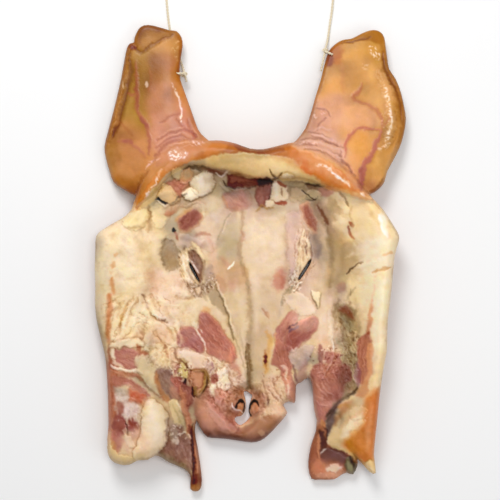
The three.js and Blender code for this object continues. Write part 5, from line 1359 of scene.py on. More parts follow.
# tip fold, with painted shade in its crease
fill("134,42 135,34 140,28 150,25 166,29 170,33 162,38 152,43 144,49 138,48", "#a36d38", soft=1.6)
stroke("136,32 143,26 155,26 168,30", "#875220", w=1.4, a=0.8, soft=1.4)
fill("146,34 156,36 150,44 142,44", "#b47c44", a=0.8, soft=3)
shade_line("134,45 137,50 142,51.5 148,48 156,43 164,39 172,35", 0.22, w=0.8, soft=3.0, lift=-0.8)
stroke("134,44 137,49 142,50.5 147,47 155,42 163,38", "#8d5b2c", w=0.4, a=0.6, soft=0.9, lift=-0.6)
stroke("146,31 160,34 168,33", "#b87c40", w=1.2, a=0.5, soft=1.6)
fill("128,46 133,43.5 137,47 135,50 129,50", "#713014", soft=1.3)
stroke("134,44 136,47", "#e5a87c", w=0.7, a=0.8, soft=0.6)
# rolled front edge, with painted shade in the groove inside it
stroke("129,50 124.5,64 120.5,84 116,104 111.5,122 108,136 106,148", "#a4672c", w=3.2, a=0.95, soft=1.4, lift=2.2)
stroke("122.5,78 120,92 117,106 114,118", "#bf8248", w=0.9, a=0.6, soft=1.3, gaps=0.3, seed=175)
stroke("123,80 123.4,88", "#f6dcb8", w=0.6, a=0.8, soft=0.6)
stroke("126,52 121.5,72 116.5,96 110.5,120 106.5,140 105,152", "#7c451c", w=0.9, a=0.7, soft=1.0)
shade_line("129,50 129.5,62 131,74 129,84 126.5,94 123.5,106 120.5,119 117,128 113.5,136", 0.26, w=1.4, soft=3.8, lift=-0.5)
stroke("129,70 128.6,82 126.5,92 123.5,106 120.5,119 117,128 113.5,134", "#84502a", w=0.3, a=0.6, soft=1.0, lift=-0.3)
fill("112,131 117,125 120,123 117,132 114,135", "#7a4622", a=0.7, soft=2.2)
stroke("119,121 126,128 133,136", "#a8603c", w=1.0, a=0.7, soft=1.3)
# painted shade round the ear's outline, where its edges turn away
shade_line("182,40 181,57 179.5,72 186,94 192,112 198,129 206,138", 0.26, w=0.6, soft=3.6, warm=(0.45, 1.0, 1.5))
shade_line("136,196 122,190 112,182 107,168 105,152 108,132 113,112 118,92 122,74 126,52", 0.20, w=0.6, soft=3.2, warm=(0.6, 1.0, 1.4))
shade_line("138,44 140,32 150,27 166,31 176,34 181,42", 0.22, w=0.8, soft=4.0, warm=(0.6, 1.0, 1.3))
melt("150,96 200,96 216,140 214,156 186,160 150,160", 0.8)
# veins
stroke("136,62 137,78 136.5,94 137,108 141,117 146,124 149,133 150,145 149,154", "#a2503e", w=1.4, a=0.85, soft=1.4, lift=0.7)
stroke("137,80 136.5,96 138,110", "#8f4030", w=0.8, a=0.7, soft=1.0)
stroke("127,94 132,94.5 136,94", "#a65440", w=1.0, a=0.75, soft=1.1)
stroke("119,142 128,142 133,145 139,149 146,157", "#b05a4a", w=1.2, a=0.75, soft=1.4, lift=0.4)
stroke("124,142 130,141.5 132,144", "#a0404a", w=1.3, a=0.6, soft=1.2)
stroke("150,68 151,84 149,92", "#a85c38", w=0.9, a=0.6, soft=1.2)
stroke("116,140 117,152 120,160", "#a2693c", w=1.2, a=0.5, soft=2)
stroke("141,117 143,122 148,128", "#8f4046", w=1.0, a=0.6, soft=1)
for line in (
    "158,140 170,133 184,130 194,134",
    "156,148 166,140 178,136 190,140",
    "154,156 162,147 174,141 184,140",
    "152,162 160,152 168,146",
    "176,118 186,128 196,136",
    "160,122 172,116 180,114",
    "188,120 192,130 196,136",
):
    stroke(line, "#ab6456", w=0.8, a=0.55, soft=1.3, lift=-0.5)
for line in ("160,137 172,130 184,127", "157,145 168,137 180,133", "160,152 172,145 186,143", "186,142 196,141 204,143"):
    stroke(line, "#e0a68c", w=0.8, a=0.5, soft=1.2, lift=0.5)
stroke("190,130 194,136 192,138", "#a14a40", w=1.2, a=0.7, soft=1.2)
# glints
fill("145,82 147.4,83 148.6,87 147,87.6 145,85.4", "#f3e2d0", a=0.9, soft=0.7, gloss=0.9)
stroke("171.4,83 173.6,88 176.6,93.5 179.2,99 180.2,104 181.4,110 181,118 181,126", "#fffaf4", w=0.95, a=0.95, soft=0.6, wob=0.8, gaps=0.35, seed=177, gloss=0.95)
fill("168,152 176,149 187,150 186,156 176,160 169,159", "#f8e0d8", a=0.35, soft=2)
flecks("168,152 176,149 187,150 186,156 176,160 169,159", "#fffaf8", 46, (0.35, 1.2), 0.85, 179, 0.2)
stroke("146,168 150,163 154,160 159,158", "#f6d6cc", w=0.9, a=0.85, soft=0.7, gaps=0.5, seed=181, gloss=0.9)
flecks("176,42 180,42 176,60 172,60 172,50", "#f4d09c", 12, (0.4, 1.0), 0.7, 183)
flecks("192,140 204,141 203,145 192,145", "#f8e4dc", 14, (0.3, 1.0), 0.75, 185)
stroke("112,182 122,190 134,196.5", "#5f2e14", w=0.9, a=0.8, soft=1.2)

# -- right ear --------------------------------------------------------------------------------------------
RIGHT = "374,30 380.6,32 384.4,38 386,48 387.3,58 389.2,69 396,79 401,93 404,107 406,119.5 403.7,135 399.7,148 393.3,160 387.2,172 384.4,182 379.3,188.6 369.1,195 361,189 348,177 334,165 318,155 300,148 291,144.5 296,140.6 305.3,128.4 310.4,114.4 315.5,96.5 320.6,80 323.4,68.5 325.8,60 328.6,51.4 334.6,44.7 342.3,40 351.2,38.7 358.9,34.9 366.5,31.4"
fill(RIGHT, "#d2955a", soft=0.8, wob=0)
fill("340,44 366,42 366,58 350,66 340,60", "#dba050", soft=4)
fill("324,68 342,66 342,98 320,96 320,82", "#dfa15c", soft=4)
fill("344,62 358,64 362,80 350,92 342,84", "#b88044", a=0.8, soft=4)
fill("358,62 382,62 386,88 372,92 360,84", "#d39c5c", soft=4, a=0.8)
fill("366,40 382,40 386,60 376,64 366,56", "#b9843f", soft=3)
fill("316,98 342,94 350,108 346,126 326,134 308,128", "#daa084", soft=5)
fill("342,98 356,104 372,108 378,124 356,128 344,136", "#e3a67c", soft=4)
fill("356,84 376,88 384,104 372,104 358,100", "#d29c5e", a=0.8, soft=3)
fill("352,132 378,132 372,150 362,170 356,180 346,166 346,146", "#e0a05c", soft=3.5)
fill("346,150 358,156 360,176 350,172 344,160", "#e39c74", a=0.7, soft=4)
fill("372,150 392,140 396,152 384,182 372,190 364,180", "#cf9654", soft=4)
fill("388,88 400,100 403,124 396,146 386,152 390,124", "#c98942", soft=3)
fill("380,78 392,92 394,130 386,148 380,130 382,104", "#dba66a", a=0.85, soft=2.5)
fill("292,144 306,128 322,130 342,136 346,150 344,164 326,158 306,150", "#d9ab96", soft=4)
fill("294,143 306,129 310,120 312,132 304,143", "#a37c68", a=0.75, soft=2.5)
fill("310,116 322,112 330,124 322,134 310,130", "#cf9a86", a=0.8, soft=4)
fill("340,162 352,168 362,184 368,194 360,190 348,178", "#b9745a", a=0.7, soft=2.5)
fill("362,182 372,180 378,188 369,195", "#a2603c", a=0.85, soft=2.5)
melt(RIGHT, 3.4)
mottle(RIGHT, "#ad7440", "#ecbd88", scale=7, a=0.16, seed=191, soft=1)
# painted shade and light over the right ear's forms
for blob in (
    (332, 66, 16, 6, 0.16), (324, 74, 7, 9, 0.14), (314, 108, 4, 16, 0.12), (346, 46, 14, 5, 0.10), (330, 52, 6, 5, 0.14),
    (346, 100, 14, 6, 0.10), (364, 88, 7, 5, 0.12), (386, 134, 6, 10, 0.14), (374, 126, 5, 10, 0.08), (396, 116, 4, 10, 0.08),
    (338, 120, 12, 9, -0.07), (372, 50, 8, 8, -0.10), (328, 160, 13, 8, -0.09), (350, 172, 8, 12, -0.10), (372, 72, 4, 7, -0.08),
    (320, 136, 8, 4, -0.12), (380, 104, 4, 12, -0.06), (376, 160, 5, 8, -0.08),
):
    form_shade(*blob)
# tip and edges, with painted shade round the outline where the edges turn away
shade_line("296,141 305,129 310.6,115 315.8,98 321,81 324,68 326.6,58 330,50 343,41.6 358,36.6 372,31.5", 0.30, w=0.9, soft=4.2, warm=(0.45, 1.0, 1.5))
shade_line("386,60 392,76 400,94 404,112 404,130 398,150 390,168 383,184 372,194", 0.20, w=0.6, soft=3.4, warm=(0.6, 1.0, 1.4))
fill("336,44 343,39.5 352,38.5 360,34 374,29.5 381,32 385,40 378,42 366,40 352,43 342,46", "#a5692c", soft=1.6)
stroke("343,43 352,42 362,39 370,37", "#7a4c1e", w=0.5, a=0.6, soft=1.0, lift=-0.6)
stroke("340,46 350,45 360,42", "#c88a40", w=1.2, a=0.7, soft=1.2)
fill("372,31 382,33 386,46 388,60 384,62 380,46", "#ad6f2e", a=0.85, soft=2.0)
fill("327,54 332,47 340,46 343,52 338,60 333,66 326,67", "#a85a24", a=0.85, soft=3.0)
fill("327,54 332,51 335,56 333,65 326,67", "#7d3a16", a=0.85, soft=1.8)
fill("336,54 342,56 342,66 336,66", "#b4602c", a=0.6, soft=2.5)
stroke("326,66 322,80 317,97 312,114 306,128 298,139", "#86502a", w=1.0, a=0.75, soft=1.2)
# outer rolled edge, with painted shade in the groove inside it
stroke("385,46 387,60 391,72 398,84 402,98 404.5,112 404,126 401,142 396,154", "#ab6a2a", w=1.8, a=0.9, soft=1.2, lift=1.6)
shade_line("383.5,52 385,66 389,77 394,88 398.5,101 401.5,113 402.5,128 400,142", 0.20, w=1.4, soft=3.4, lift=-0.5)
stroke("383.5,60 385,68 389,78 394.5,89 399,101 402,113", "#84501e", w=0.7, a=0.7, soft=1.3, lift=-0.3)
stroke("400,128 399,140 395,152 390,162", "#9c6a38", w=1.0, a=0.6, soft=1.6, lift=-0.3)
stroke("396,146 392,158 386,170", "#c4a484", w=1.4, a=0.4, soft=2)
stroke("384,178 378,186 370,192", "#7a4420", w=1.0, a=0.7, soft=1.4)
stroke("380,72 386,86 390,100 392,116 391,132 386,146", None, w=3.0, soft=2.4, lift=2.4)
# veins
stroke("362,84 358,91 353,97 356,101 366,103.5 374,108 380,115 382,123", "#a9553c", w=1.3, a=0.8, soft=1.3, lift=0.6)
stroke("361,86 357,93 353,98", "#96452f", w=1.5, a=0.6, soft=1.4)
stroke("345,157 345.5,147 347,140 351,134 357,129 363,128 372,129 381,130", "#ad5044", w=1.3, a=0.88, soft=1.1, lift=0.7)
stroke("382,131 377,141 373,151 367,161 363,171 362,184", "#a54a46", w=1.7, a=0.9, soft=1.3, lift=0.9, w2=2.8)
stroke("381,131 386,124 390,118", "#c07050", w=0.8, a=0.6, soft=1.0)
stroke("362,166 361,178 362,190", "#94463f", w=2.0, a=0.7, soft=1.8)
stroke("382,120 382,128", "#b0604c", w=0.8, a=0.6, soft=1.0)
stroke("343,66 342,78 344,92", "#c47a50", w=1.5, a=0.5, soft=2.2)
for line in (
    "302,140 316,139 330,143 344,148",
    "300,145 314,145 328,150 342,156",
    "308,132 320,134 332,140",
    "306,149 320,151 334,158 346,166",
    "312,136 324,140 338,146",
    "326,118 320,124 318,130",
    "340,150 342,160 352,172",
    "318,108 326,110 330,116",
    "336,156 346,164 356,176",
):
    stroke(line, "#a9786a", w=0.5, a=0.5, soft=1.1, lift=-0.6)
for line in ("303,142 318,142 332,147 344,152", "312,134 324,137 336,142", "304,147.5 318,148.5 330,154", "314,130 322,128 332,130", "318,146 330,151 340,158"):
    stroke(line, "#dcb4a6", w=0.7, a=0.6, soft=0.9, lift=0.7)
# glints
flecks("369,46 374,45 380,54 379,60 374,58 370,53", "#fff4e0", 26, (0.4, 1.1), 0.85, 193)
flecks("361,64 368,64 369,69 363,70", "#fbe6c4", 12, (0.4, 1.0), 0.6, 195)
flecks("381,85 386,86 391,104 392,120 391,134 388,148 385,148 388,122 386,104", "#fff2da", 70, (0.35, 1.0), 0.8, 197)
stroke("390.5,106 391.6,116 391,126 389,134", "#fff6e6", w=0.8, a=0.85, soft=0.7, wob=1.0, gaps=0.45, seed=199, gloss=0.95)
flecks("377,145 386,144 386,150 378,150", "#fbe4c8", 16, (0.4, 1.0), 0.7, 201)
flecks("381,112 386,112 385,130 380,124", "#f9dfc0", 16, (0.3, 0.9), 0.6, 203)
flecks("314,112 318,112 317,118 314,118", "#f6d6cc", 6, (0.4, 0.9), 0.8, 205)
flecks("321,109 325,109 325,112 321,113", "#f6d6cc", 5, (0.4, 0.9), 0.7, 207)
flecks("302,142 318,142 318,145 302,145", "#f8dcd2", 14, (0.4, 1.0), 0.7, 209)
stroke("371,193.5 378,189 382,185", "#6c3a1a", w=0.9, a=0.7, soft=1.0)

# browner skin over the upper half of the ear on the left, and its outer side
fill("132,46 150,52 176,40 177,72 178,108 168,128 150,120 138,100 130,76", "#ab6c38", a=0.20, soft=12, wob=0.3)
fill("112,150 120,128 132,120 142,140 140,170 128,186 112,178", "#b87a42", a=0.22, soft=10, wob=0.3)
fill("322,86 340,62 372,50 380,90 372,118 340,112", "#cf8f55", a=0.16, soft=12, wob=0.3)
# painted shade and light over the ears' own hollows and rolled sides
for blob in (
    (122, 84, 4, 13, 0.14), (137, 86, 4, 14, 0.07), (149, 88, 6, 8, 0.07), (127, 137, 14, 8, 0.10), (158, 76, 9, 9, 0.05),
    (160, 108, 12, 8, 0.06), (177, 54, 4, 10, 0.09), (178, 72, 4, 4, 0.14), (152, 31, 17, 5, 0.10), (140, 36, 5, 5, 0.10),
    (180, 150, 12, 5, 0.05), (118, 160, 8, 8, 0.05), (329, 52, 5, 5, 0.16), (338, 72, 12, 5, 0.11), (322, 84, 4, 8, 0.08),
    (314, 112, 4, 10, 0.11), (349, 43, 15, 4, 0.07), (372, 130, 5, 16, 0.08), (389, 128, 4, 14, 0.07), (357, 102, 8, 4, 0.07),
    (384, 71, 4, 9, 0.07), (366, 61, 4, 6, 0.07), (382, 160, 5, 15, 0.05), (350, 152, 10, 12, -0.05), (349, 190, 8, 7, -0.06),
    (130, 62, 3, 10, -0.05), (145, 64, 4, 6, -0.05), (372, 78, 4, 7, -0.06), (378, 104, 5, 5, -0.06), (352, 92, 6, 5, -0.05),
):
    form_shade(*blob)

# everything runs a little into its neighbours
_still = np.ones_like(Z)
for _hu, _hv in ((194.5, 271.5), (304.5, 269.5), (244.0, 408.0)):
    _still *= 1 - np.exp(-(((UU - _hu) ** 2 + (VV - _hv) ** 2) / 190.0))
_ear = ramp(signed(UU, VV, points(LEFT)), -2, 3) + ramp(signed(UU, VV, points(RIGHT)), -2, 3)
_ear = np.clip(_ear, 0, 1) * ramp(-VV, -170, -150)
_fine = 0.45 * (1 - 0.85 * _ear)
_wu = (_fine * vnoise(UU / 2.3, VV / 2.3, 261) + 0.8 * vnoise(UU / 6.3, VV / 6.3, 263)) * _still
_wv = (_fine * vnoise(UU / 2.3, VV / 2.3, 265) + 0.8 * vnoise(UU / 6.3, VV / 6.3, 267)) * _still
_i = np.clip(np.rint((VV + _wv - PV0) * SCALE), 0, PH - 1).astype(np.int32)
_j = np.clip(np.rint((UU + _wu - PU0) * SCALE), 0, PW - 1).astype(np.int32)
C, Z, G, M = C[_i, _j], Z[_i, _j], G[_i, _j], M[_i, _j]
C += (blur(C, 0.7) - C) * 0.3
# a soft general variation, with painted shade in every crease and painted light on the ridges
_v = fbm(UU / 3.0, VV / 3.0, 221, 4, 0.65)
_w = fbm(UU / 16, VV / 16, 231, 3)
_meaty = np.clip(0.35 + M, 0, 1)
C *= (1 + 0.030 * _v * _meaty * (1 - 0.6 * _ear) + 0.022 * _w)[..., None]
C[..., 2] *= 1 - 0.05 * np.clip(fbm(UU / 7, VV / 7, 235, 3), -1, 1)
Z += (0.06 * fbm(UU / 2.4, VV / 2.4, 241, 3, 0.6) * _meaty + 0.5 * fbm(UU / 9, VV / 9, 251, 2, 0.4)) * (1 - 0.75 * _ear)
_near = np.clip(Z - blur(Z, 1.6), -1.0, 1.0)
_far = np.clip(Z - blur(Z, 6.0), -2.0, 2.0)
_crease_shade = np.clip(-_near * 0.20 - _far * 0.10, 0, 0.5)
C *= 1 - _crease_shade[..., None] * np.array([0.55, 0.85, 1.05], np.float32)
_ridge_light = np.clip(_near * 0.12 + _far * 0.04, 0, 0.2)
C += (1.0 - C) * (_ridge_light * (0.2 + 0.8 * C.mean(-1)))[..., None]
# fat is cream rather than green, meat brown rather than red
_light = ramp(C.mean(-1), 0.45, 0.75)[..., None]
C *= 1 - _light * np.array([-0.005, 0.045, 0.07], np.float32)
_red = ramp(C[..., 0] - C[..., 1], 0.20, 0.34) * (1 - ramp(C[..., 0] - C[..., 2], 0.42, 0.55))
C += _red[..., None] * np.array([0.035, 0.07, 0.05], np.float32)
# edges read crisply
C += (C - blur(C, 1.3)) * 0.28
np.clip(C, 0.0, 1.0, out=C)
# paint end

# ---- the head's form: height tables and outlines, as in the part's source ------------
FACE_U = [90, 120, 150, 180, 210, 240, 265, 290, 320, 350, 380, 405]
FACE_V = [135, 150, 165, 185, 205, 235, 270, 300, 340, 380, 420, 450, 495]
BAND_U = [125, 145, 165, 190, 215, 255, 295, 320, 345, 375]
BAND_V = [135, 147, 160, 175, 192, 215]
LEFT_U = [100, 115, 130, 150, 170, 190, 215]
LEFT_V = [20, 45, 75, 105, 135, 160, 200]
RIGHT_U = [290, 310, 325, 345, 365, 385, 408]
RIGHT_V = [25, 50, 80, 110, 140, 165, 205]
FACE_TOP = [
    [30, 30, 34, 42, 48, 50, 50, 50, 46, 36, 30, 28],
    [30, 30, 36, 46, 50, 52, 52, 52, 50, 42, 32, 28],
    [32, 32, 38, 42, 42, 40, 40, 40, 44, 46, 38, 32],
    [36, 38, 38, 34, 28, 24, 24, 26, 34, 42, 46, 40],
    [40, 42, 38, 32, 26, 22, 22, 24, 28, 38, 52, 48],
    [46, 46, 40, 28, 24, 20, 19, 22, 26, 34, 56, 54],
    [46, 46, 40, 28, 24, 17, 16, 22, 26, 28, 54, 56],
    [44, 44, 40, 32, 26, 15, 15, 22, 26, 24, 54, 57],
    [42, 42, 40, 34, 28, 14, 15, 24, 28, 24, 52, 57],
    [38, 42, 40, 34, 30, 16, 18, 26, 32, 26, 50, 56],
    [36, 44, 44, 24, 26, 24, 24, 24, 28, 32, 46, 50],
    [34, 42, 42, 20, 18, 20, 20, 20, 20, 24, 40, 42],
    [30, 36, 34, 18, 14, 16, 16, 16, 16, 18, 34, 36],
]
FACE_BOTTOM = [
    [12, 12, 16, 22, 28, 30, 30, 30, 26, 18, 12, 10],
    [12, 12, 14, 20, 24, 26, 26, 26, 24, 20, 14, 10],
    [12, 10, 10, 10, 10, 10, 10, 10, 12, 18, 18, 14],
    [14, 10, 6, 2, -2, -3, -3, -2, 2, 8, 18, 18],
    [18, 10, 4, -2, -3, -3, -3, -3, -2, 5, 18, 24],
    [24, 12, 4, -3, -3, -3, -3, -3, -3, 4, 18, 28],
    [25, 12, 4, -3, -3, -3, -3, -3, -3, 2, 16, 30],
    [24, 12, 4, -3, -3, -3, -3, -3, -3, 2, 16, 30],
    [22, 10, 4, -3, -3, -3, -3, -3, -3, 2, 14, 28],
    [20, 10, 4, -2, -3, -3, -3, -3, 1, 4, 12, 26],
    [18, 10, 6, 1, -3, -3, -3, -2, 4, 8, 14, 24],
    [18, 12, 8, 4, 2, -2, -2, 2, 4, 8, 14, 22],
    [16, 12, 8, 4, 2, 2, 2, 2, 4, 8, 14, 20],
]
BAND_TOP = [
    [30, 36, 42, 46, 48, 49, 49, 48, 44, 40],
    [34, 40, 46, 52, 57, 59, 59, 57, 50, 44],
    [38, 43, 50, 56, 59, 61, 62, 61, 57, 50],
    [40, 46, 52, 54, 55, 56, 58, 60, 60, 54],
    [42, 46, 48, 48, 48, 48, 50, 54, 57, 57],
    [42, 42, 42, 42, 42, 42, 44, 48, 52, 54],
]
LEFT_TOP = [
    [10, 12, 15, 17, 16, 13, 12],
    [12, 15, 18, 20, 20, 17, 16],
    [14, 18, 20, 25, 28, 23, 20],
    [16, 20, 24, 32, 36, 32, 30],
    [16, 22, 29, 38, 43, 44, 44],
    [16, 23, 31, 41, 47, 50, 52],
    [14, 20, 27, 36, 42, 46, 48],
]
RIGHT_TOP = [
    [12, 13, 13, 15, 17, 15, 12],
    [15, 16, 17, 20, 22, 19, 14],
    [22, 24, 24, 25, 26, 25, 18],
    [34, 34, 33, 31, 30, 31, 21],
    [46, 44, 41, 37, 33, 31, 21],
    [52, 51, 48, 43, 37, 32, 22],
    [48, 48, 47, 42, 36, 30, 20],
]
FACE_OUTLINE = (
    "134,205 136,195 140,180 149,168 163,156 180,147 198,141.5 211,140.5 222,140.6 "
    "236,143.5 250,148.4 264,149 280,145.2 296,142 310,146 325,154 340,164 354,176 "
    "364,188 372,197.5 383.5,210 393.8,226 399,235.5 398.6,242 395,255 392.7,277 390.4,300 "
    "388.1,318 387.2,336 387,350 383.5,369 380.1,392 377.8,414 375.5,437 374,455 376,473 "
    "369.7,472 364,465.7 352,454 339,448.5 327,440 334,430 340,420 334,414 323,431 "
    "318,424 314,409 312.9,395 311.7,383.6 308.3,377.3 300.8,382.6 296.3,385 295.7,397 294.5,403 "
    "288.8,401.4 283.2,405 287.3,412 284,418 277.9,425 268.7,434.7 260.7,440.6 251.5,442.4 240,441 "
    "229.2,439.3 217.8,438.2 207,437 200.5,428.4 196.5,420.4 195,432 197.5,446 200.2,464 202,480 "
    "200.5,489 195.9,491.5 190.2,489 190.6,478 187.4,471.5 179.5,466.8 169,462.4 162,458 155.8,455.4 "
    "147.7,459.8 137.4,460.5 129.4,464.8 119,464.4 111,460 107.6,452 107,440 108.4,424 107.6,392 "
    "106.4,370 104.7,355 101.2,340 97.2,323.5 94.9,306 95.3,289 94.7,270 95.2,250 96.1,236 "
    "103,229.4 114.4,222.5 125.9,215.6"
)
BAND_OUTLINE = (
    "131,211.5 136,196 140,181 149,169 163,157 180,148 198,142.2 211,141 236,144 "
    "250,148.8 264,149.4 280,145.6 296,142.6 312,147 335,161 353,175.6 364,189 373,199 "
    "368,201 348,195 328,187 308,180 290,177 268,179 250,177 232,172 214,168.5 "
    "196,165 182,167 172,173 160,186 148,198 138,208"
)
LEFT_OUTLINE = (
    "144,25.3 153.6,25.6 169.5,30.2 176.5,31 181.6,37.4 182.7,45.7 181,57.2 179.8,68.7 180.4,79.5 "
    "185.5,94.2 191.8,112 198.2,129.5 204.5,137 212,144 214,154 200,162 180,166 160,178 "
    "148,192 137,196.4 123,189.2 113.4,182 109.4,170.7 105.7,158 104.4,146.5 107.7,132.4 112.1,115.9 "
    "116.6,98 121,79 124.2,61 126.8,48.3 130,43.4 133.8,42.6 134.4,38.1 138.3,29.4"
)
RIGHT_OUTLINE = (
    "374.2,29.9 380.6,32.1 384.4,37.9 385.9,48 387.3,58 389.2,69 395.9,79.2 401,92.7 404.2,106.7 "
    "406,119.5 403.7,134.8 399.7,147.6 393.3,160.3 387.2,171.8 384.4,182 379.3,188.6 369.1,194.9 355,192 "
    "340,183 322,172 303,162 291,152 291.5,144.4 296,140.6 305.3,128.4 310.4,114.4 315.5,96.5 "
    "320.6,80 323.4,68.5 325.8,60 328.6,51.4 334.6,44.7 342.3,40 351.2,38.7 358.9,34.9 366.5,31.4"
)
LIP_OUTLINE = (
    "322,400 338,398 350,410 352,440 357,458 357.4,466 353,474.4 347,472.6 341,475 "
    "334,479.4 320,479.6 311.4,478.6 308.2,467 309,455 311.4,443.3 315.8,430.5 317,418"
)
NOSTRILS = "243.6,392.5 246,391 249.5,393 252.3,395.5 250.8,400 249,406 248.6,412 250,416 248,419.5 243.5,423.5 240,425 236.8,423 234.6,419.5 236.4,416.6 241,416 244.6,411.5 245.8,405 245.2,398"
EYE_LEFT = "189.6,262.6 192.1,266.6 195.5,272.4 199.2,281 197.7,280 194.0,273.8 190.7,267.6"
EYE_RIGHT = "298.2,280.4 300.8,275 304.5,268.6 308,263.4 310.8,259.4 309.6,263.8 306.3,269.6 302.2,275.8"


def lattice(us, vs, rows, U, V):
    """A height table over a grid: cubic along each row, then across the rows."""

    def cubic(stations, values, t):
        stations = np.asarray(stations, float)
        slope = np.empty_like(values)
        slope[1:-1] = (values[2:] - values[:-2]) / (stations[2:] - stations[:-2])[:, None]
        slope[0] = (values[1] - values[0]) / (stations[1] - stations[0])
        slope[-1] = (values[-1] - values[-2]) / (stations[-1] - stations[-2])
        t = np.clip(t, stations[0], stations[-1])
        i = np.clip(np.searchsorted(stations, t, side="right") - 1, 0, len(stations) - 2)
        h = (stations[i + 1] - stations[i])[:, None]
        s = (t - stations[i])[:, None] / h
        s2, s3 = s * s, s * s * s
        return (
            (2 * s3 - 3 * s2 + 1) * values[i]
            + (s3 - 2 * s2 + s) * slope[i] * h
            + (3 * s2 - 2 * s3) * values[i + 1]
            + (s3 - s2) * slope[i + 1] * h
        )

    table = np.asarray(rows, float)  # [v station, u station]
    by_row = cubic(us, table.T, U).T  # [v station, u]
    return cubic(vs, by_row, V).astype(np.float32)  # [v, u]


def soften(a, times=1):
    for _ in range(times):
        p = np.pad(a, [(1, 1), (1, 1)] + [(0, 0)] * (a.ndim - 2), mode="edge")
        a = (p[:-2] + 2 * p[1:-1] + p[2:]) / 4
        a = (a[:, :-2] + 2 * a[:, 1:-1] + a[:, 2:]) / 4
    return a


STEP = 2  # canvas steps to one mesh cell
HU, HV = gu[::STEP], gv[::STEP]
X, Y = np.meshgrid(HU, HV)


def shape(text):
    return signed(X, Y, catmull(points(text), 2, True).astype(np.float32))


D_FACE = shape(FACE_OUTLINE)
D_BAND = shape(BAND_OUTLINE)
D_LEFT = shape(LEFT_OUTLINE)
D_RIGHT = shape(RIGHT_OUTLINE)
D_LIP = shape(LIP_OUTLINE)
D_HOLES = np.maximum(np.maximum(shape(NOSTRILS), shape(EYE_LEFT)), shape(EYE_RIGHT))

face_top = lattice(FACE_U, FACE_V, FACE_TOP, HU, HV)
face_low = np.minimum(np.maximum(lattice(FACE_U, FACE_V, FACE_BOTTOM, HU, HV), 0.0), face_top - 3)
band_top = lattice(BAND_U, BAND_V, BAND_TOP, HU, HV)
left_top = lattice(LEFT_U, LEFT_V, LEFT_TOP, HU, HV)
right_top = lattice(RIGHT_U, RIGHT_V, RIGHT_TOP, HU, HV)
lip_top = 21 + 3 * np.sin((Y - 400) / 18) - np.maximum(0, Y - 460) * 0.25
ear_depth = 6.5 + np.maximum(0, Y - 130) * 0.12

SHEETS = [
    # inside distance, upper side, under side, how far in its rounded edge reaches
    (D_FACE, face_top, face_low, 9.0),
    (D_BAND, band_top, band_top - 15, 8.0),
    (D_LEFT, left_top, np.maximum(left_top - ear_depth, 5.2), 4.0),
    (D_RIGHT, right_top, np.maximum(right_top - ear_depth, 5.2), 4.0),
    (D_LIP, lip_top, np.full_like(lip_top, 5.0), 8.0),
]
TOP = np.full(X.shape, -1e3, np.float32)
LOW = np.full(X.shape, 1e3, np.float32)
for d, t, b, r in SHEETS:
    mid = (t + b) / 2
    e = np.clip(d / r, 0, 1)
    profile = np.sqrt(np.clip(1 - (1 - e) ** 2, 0, 1))
    on = d > 0
    TOP = np.where(on, np.maximum(TOP, mid + (t - mid) * profile), TOP)
    LOW = np.where(on, np.minimum(LOW, mid + (b - mid) * profile), LOW)
OUTER = np.maximum.reduce([s[0] for s in SHEETS])
nearest = np.argmax(np.stack([s[0] for s in SHEETS]), 0)
mids = np.stack([(s[1] + s[2]) / 2 for s in SHEETS])
outside = np.take_along_axis(mids, nearest[None], 0)[0]
TOP = np.where(TOP < -999, outside, TOP)
LOW = np.where(LOW > 999, outside, LOW)
EDGE = np.minimum(OUTER, -D_HOLES)
# round the lips of the holes
hole_lip = np.clip(-D_HOLES / 1.6, 0, 1)
hole_lip = np.sqrt(np.clip(1 - (1 - hole_lip) ** 2, 0, 1))
mid = (TOP + LOW) / 2
TOP = mid + (TOP - mid) * (0.45 + 0.55 * hole_lip)
LOW = mid + (LOW - mid) * (0.45 + 0.55 * hole_lip)
well = ramp(-shape(NOSTRILS), 0.0, 11.0)
TOP = np.minimum(TOP, LOW + 3.0 + (TOP - LOW - 3.0) * (0.12 + 0.88 * well))
# only inside the outline, so that its edge stays where it is
_in = ramp(EDGE, 0.5, 2.5)
TOP = TOP + (soften(TOP, 2) - TOP) * _in
LOW = LOW + (soften(LOW, 2) - LOW) * _in

# small relief of the upper side, weaker at the very edge
relief = soften(Z, 1)[::STEP, ::STEP]
TOP = TOP + relief * ramp(EDGE, 0.0, 3.0)

# the skin side: colour and wrinkles
B_C = np.empty(X.shape + (3,), np.float32)
B_C[:] = rgb("#b9763e")


def under(text, colour, soft=6.0, a=1.0):
    d = signed(X + 2 * DU[::STEP, ::STEP], Y + 2 * DV[::STEP, ::STEP], catmull(points(text), 3, True).astype(np.float32))
    m = ramp(d, -soft, soft) * a
    B_C[:] += (rgb(colour) - B_C) * m[..., None]


under("200,380 230,350 270,350 298,380 290,430 250,446 205,440", "#b57a66", 8)
under("205,405 250,395 288,405 282,430 250,445 210,440", "#a8685a", 5)
under("180,240 210,240 212,300 182,300", "#a06436", 7, 0.8)
under("286,236 318,236 314,300 290,296", "#a06436", 7, 0.8)
under("105,60 180,30 200,130 190,190 110,190", "#b98558", 8, 0.9)
under("300,60 400,30 405,130 380,190 300,160", "#b98558", 8, 0.9)
under("95,380 200,380 200,490 100,470", "#c08048", 8, 0.8)
n1 = fbm(X / 9, Y / 9, 301, 4, 0.6)
n2 = fbm(X / 2.5, Y / 5, 311, 3, 0.6)
B_C += (rgb("#8a4c22") - B_C) * np.clip(n1, 0, 1)[..., None] * 0.55
B_C += (rgb("#dba468") - B_C) * np.clip(-n1, 0, 1)[..., None] * 0.5
B_C *= (1 + 0.07 * n2)[..., None]
wrinkle = fbm(X / 3.0 + 0.8 * n1, Y / 10.0, 321, 3, 0.6)
LOW = LOW + (0.5 * wrinkle + 0.5 * n2 * 0.4) * ramp(EDGE, 0.0, 3.0) * ramp(LOW, 0.5, 3.0)
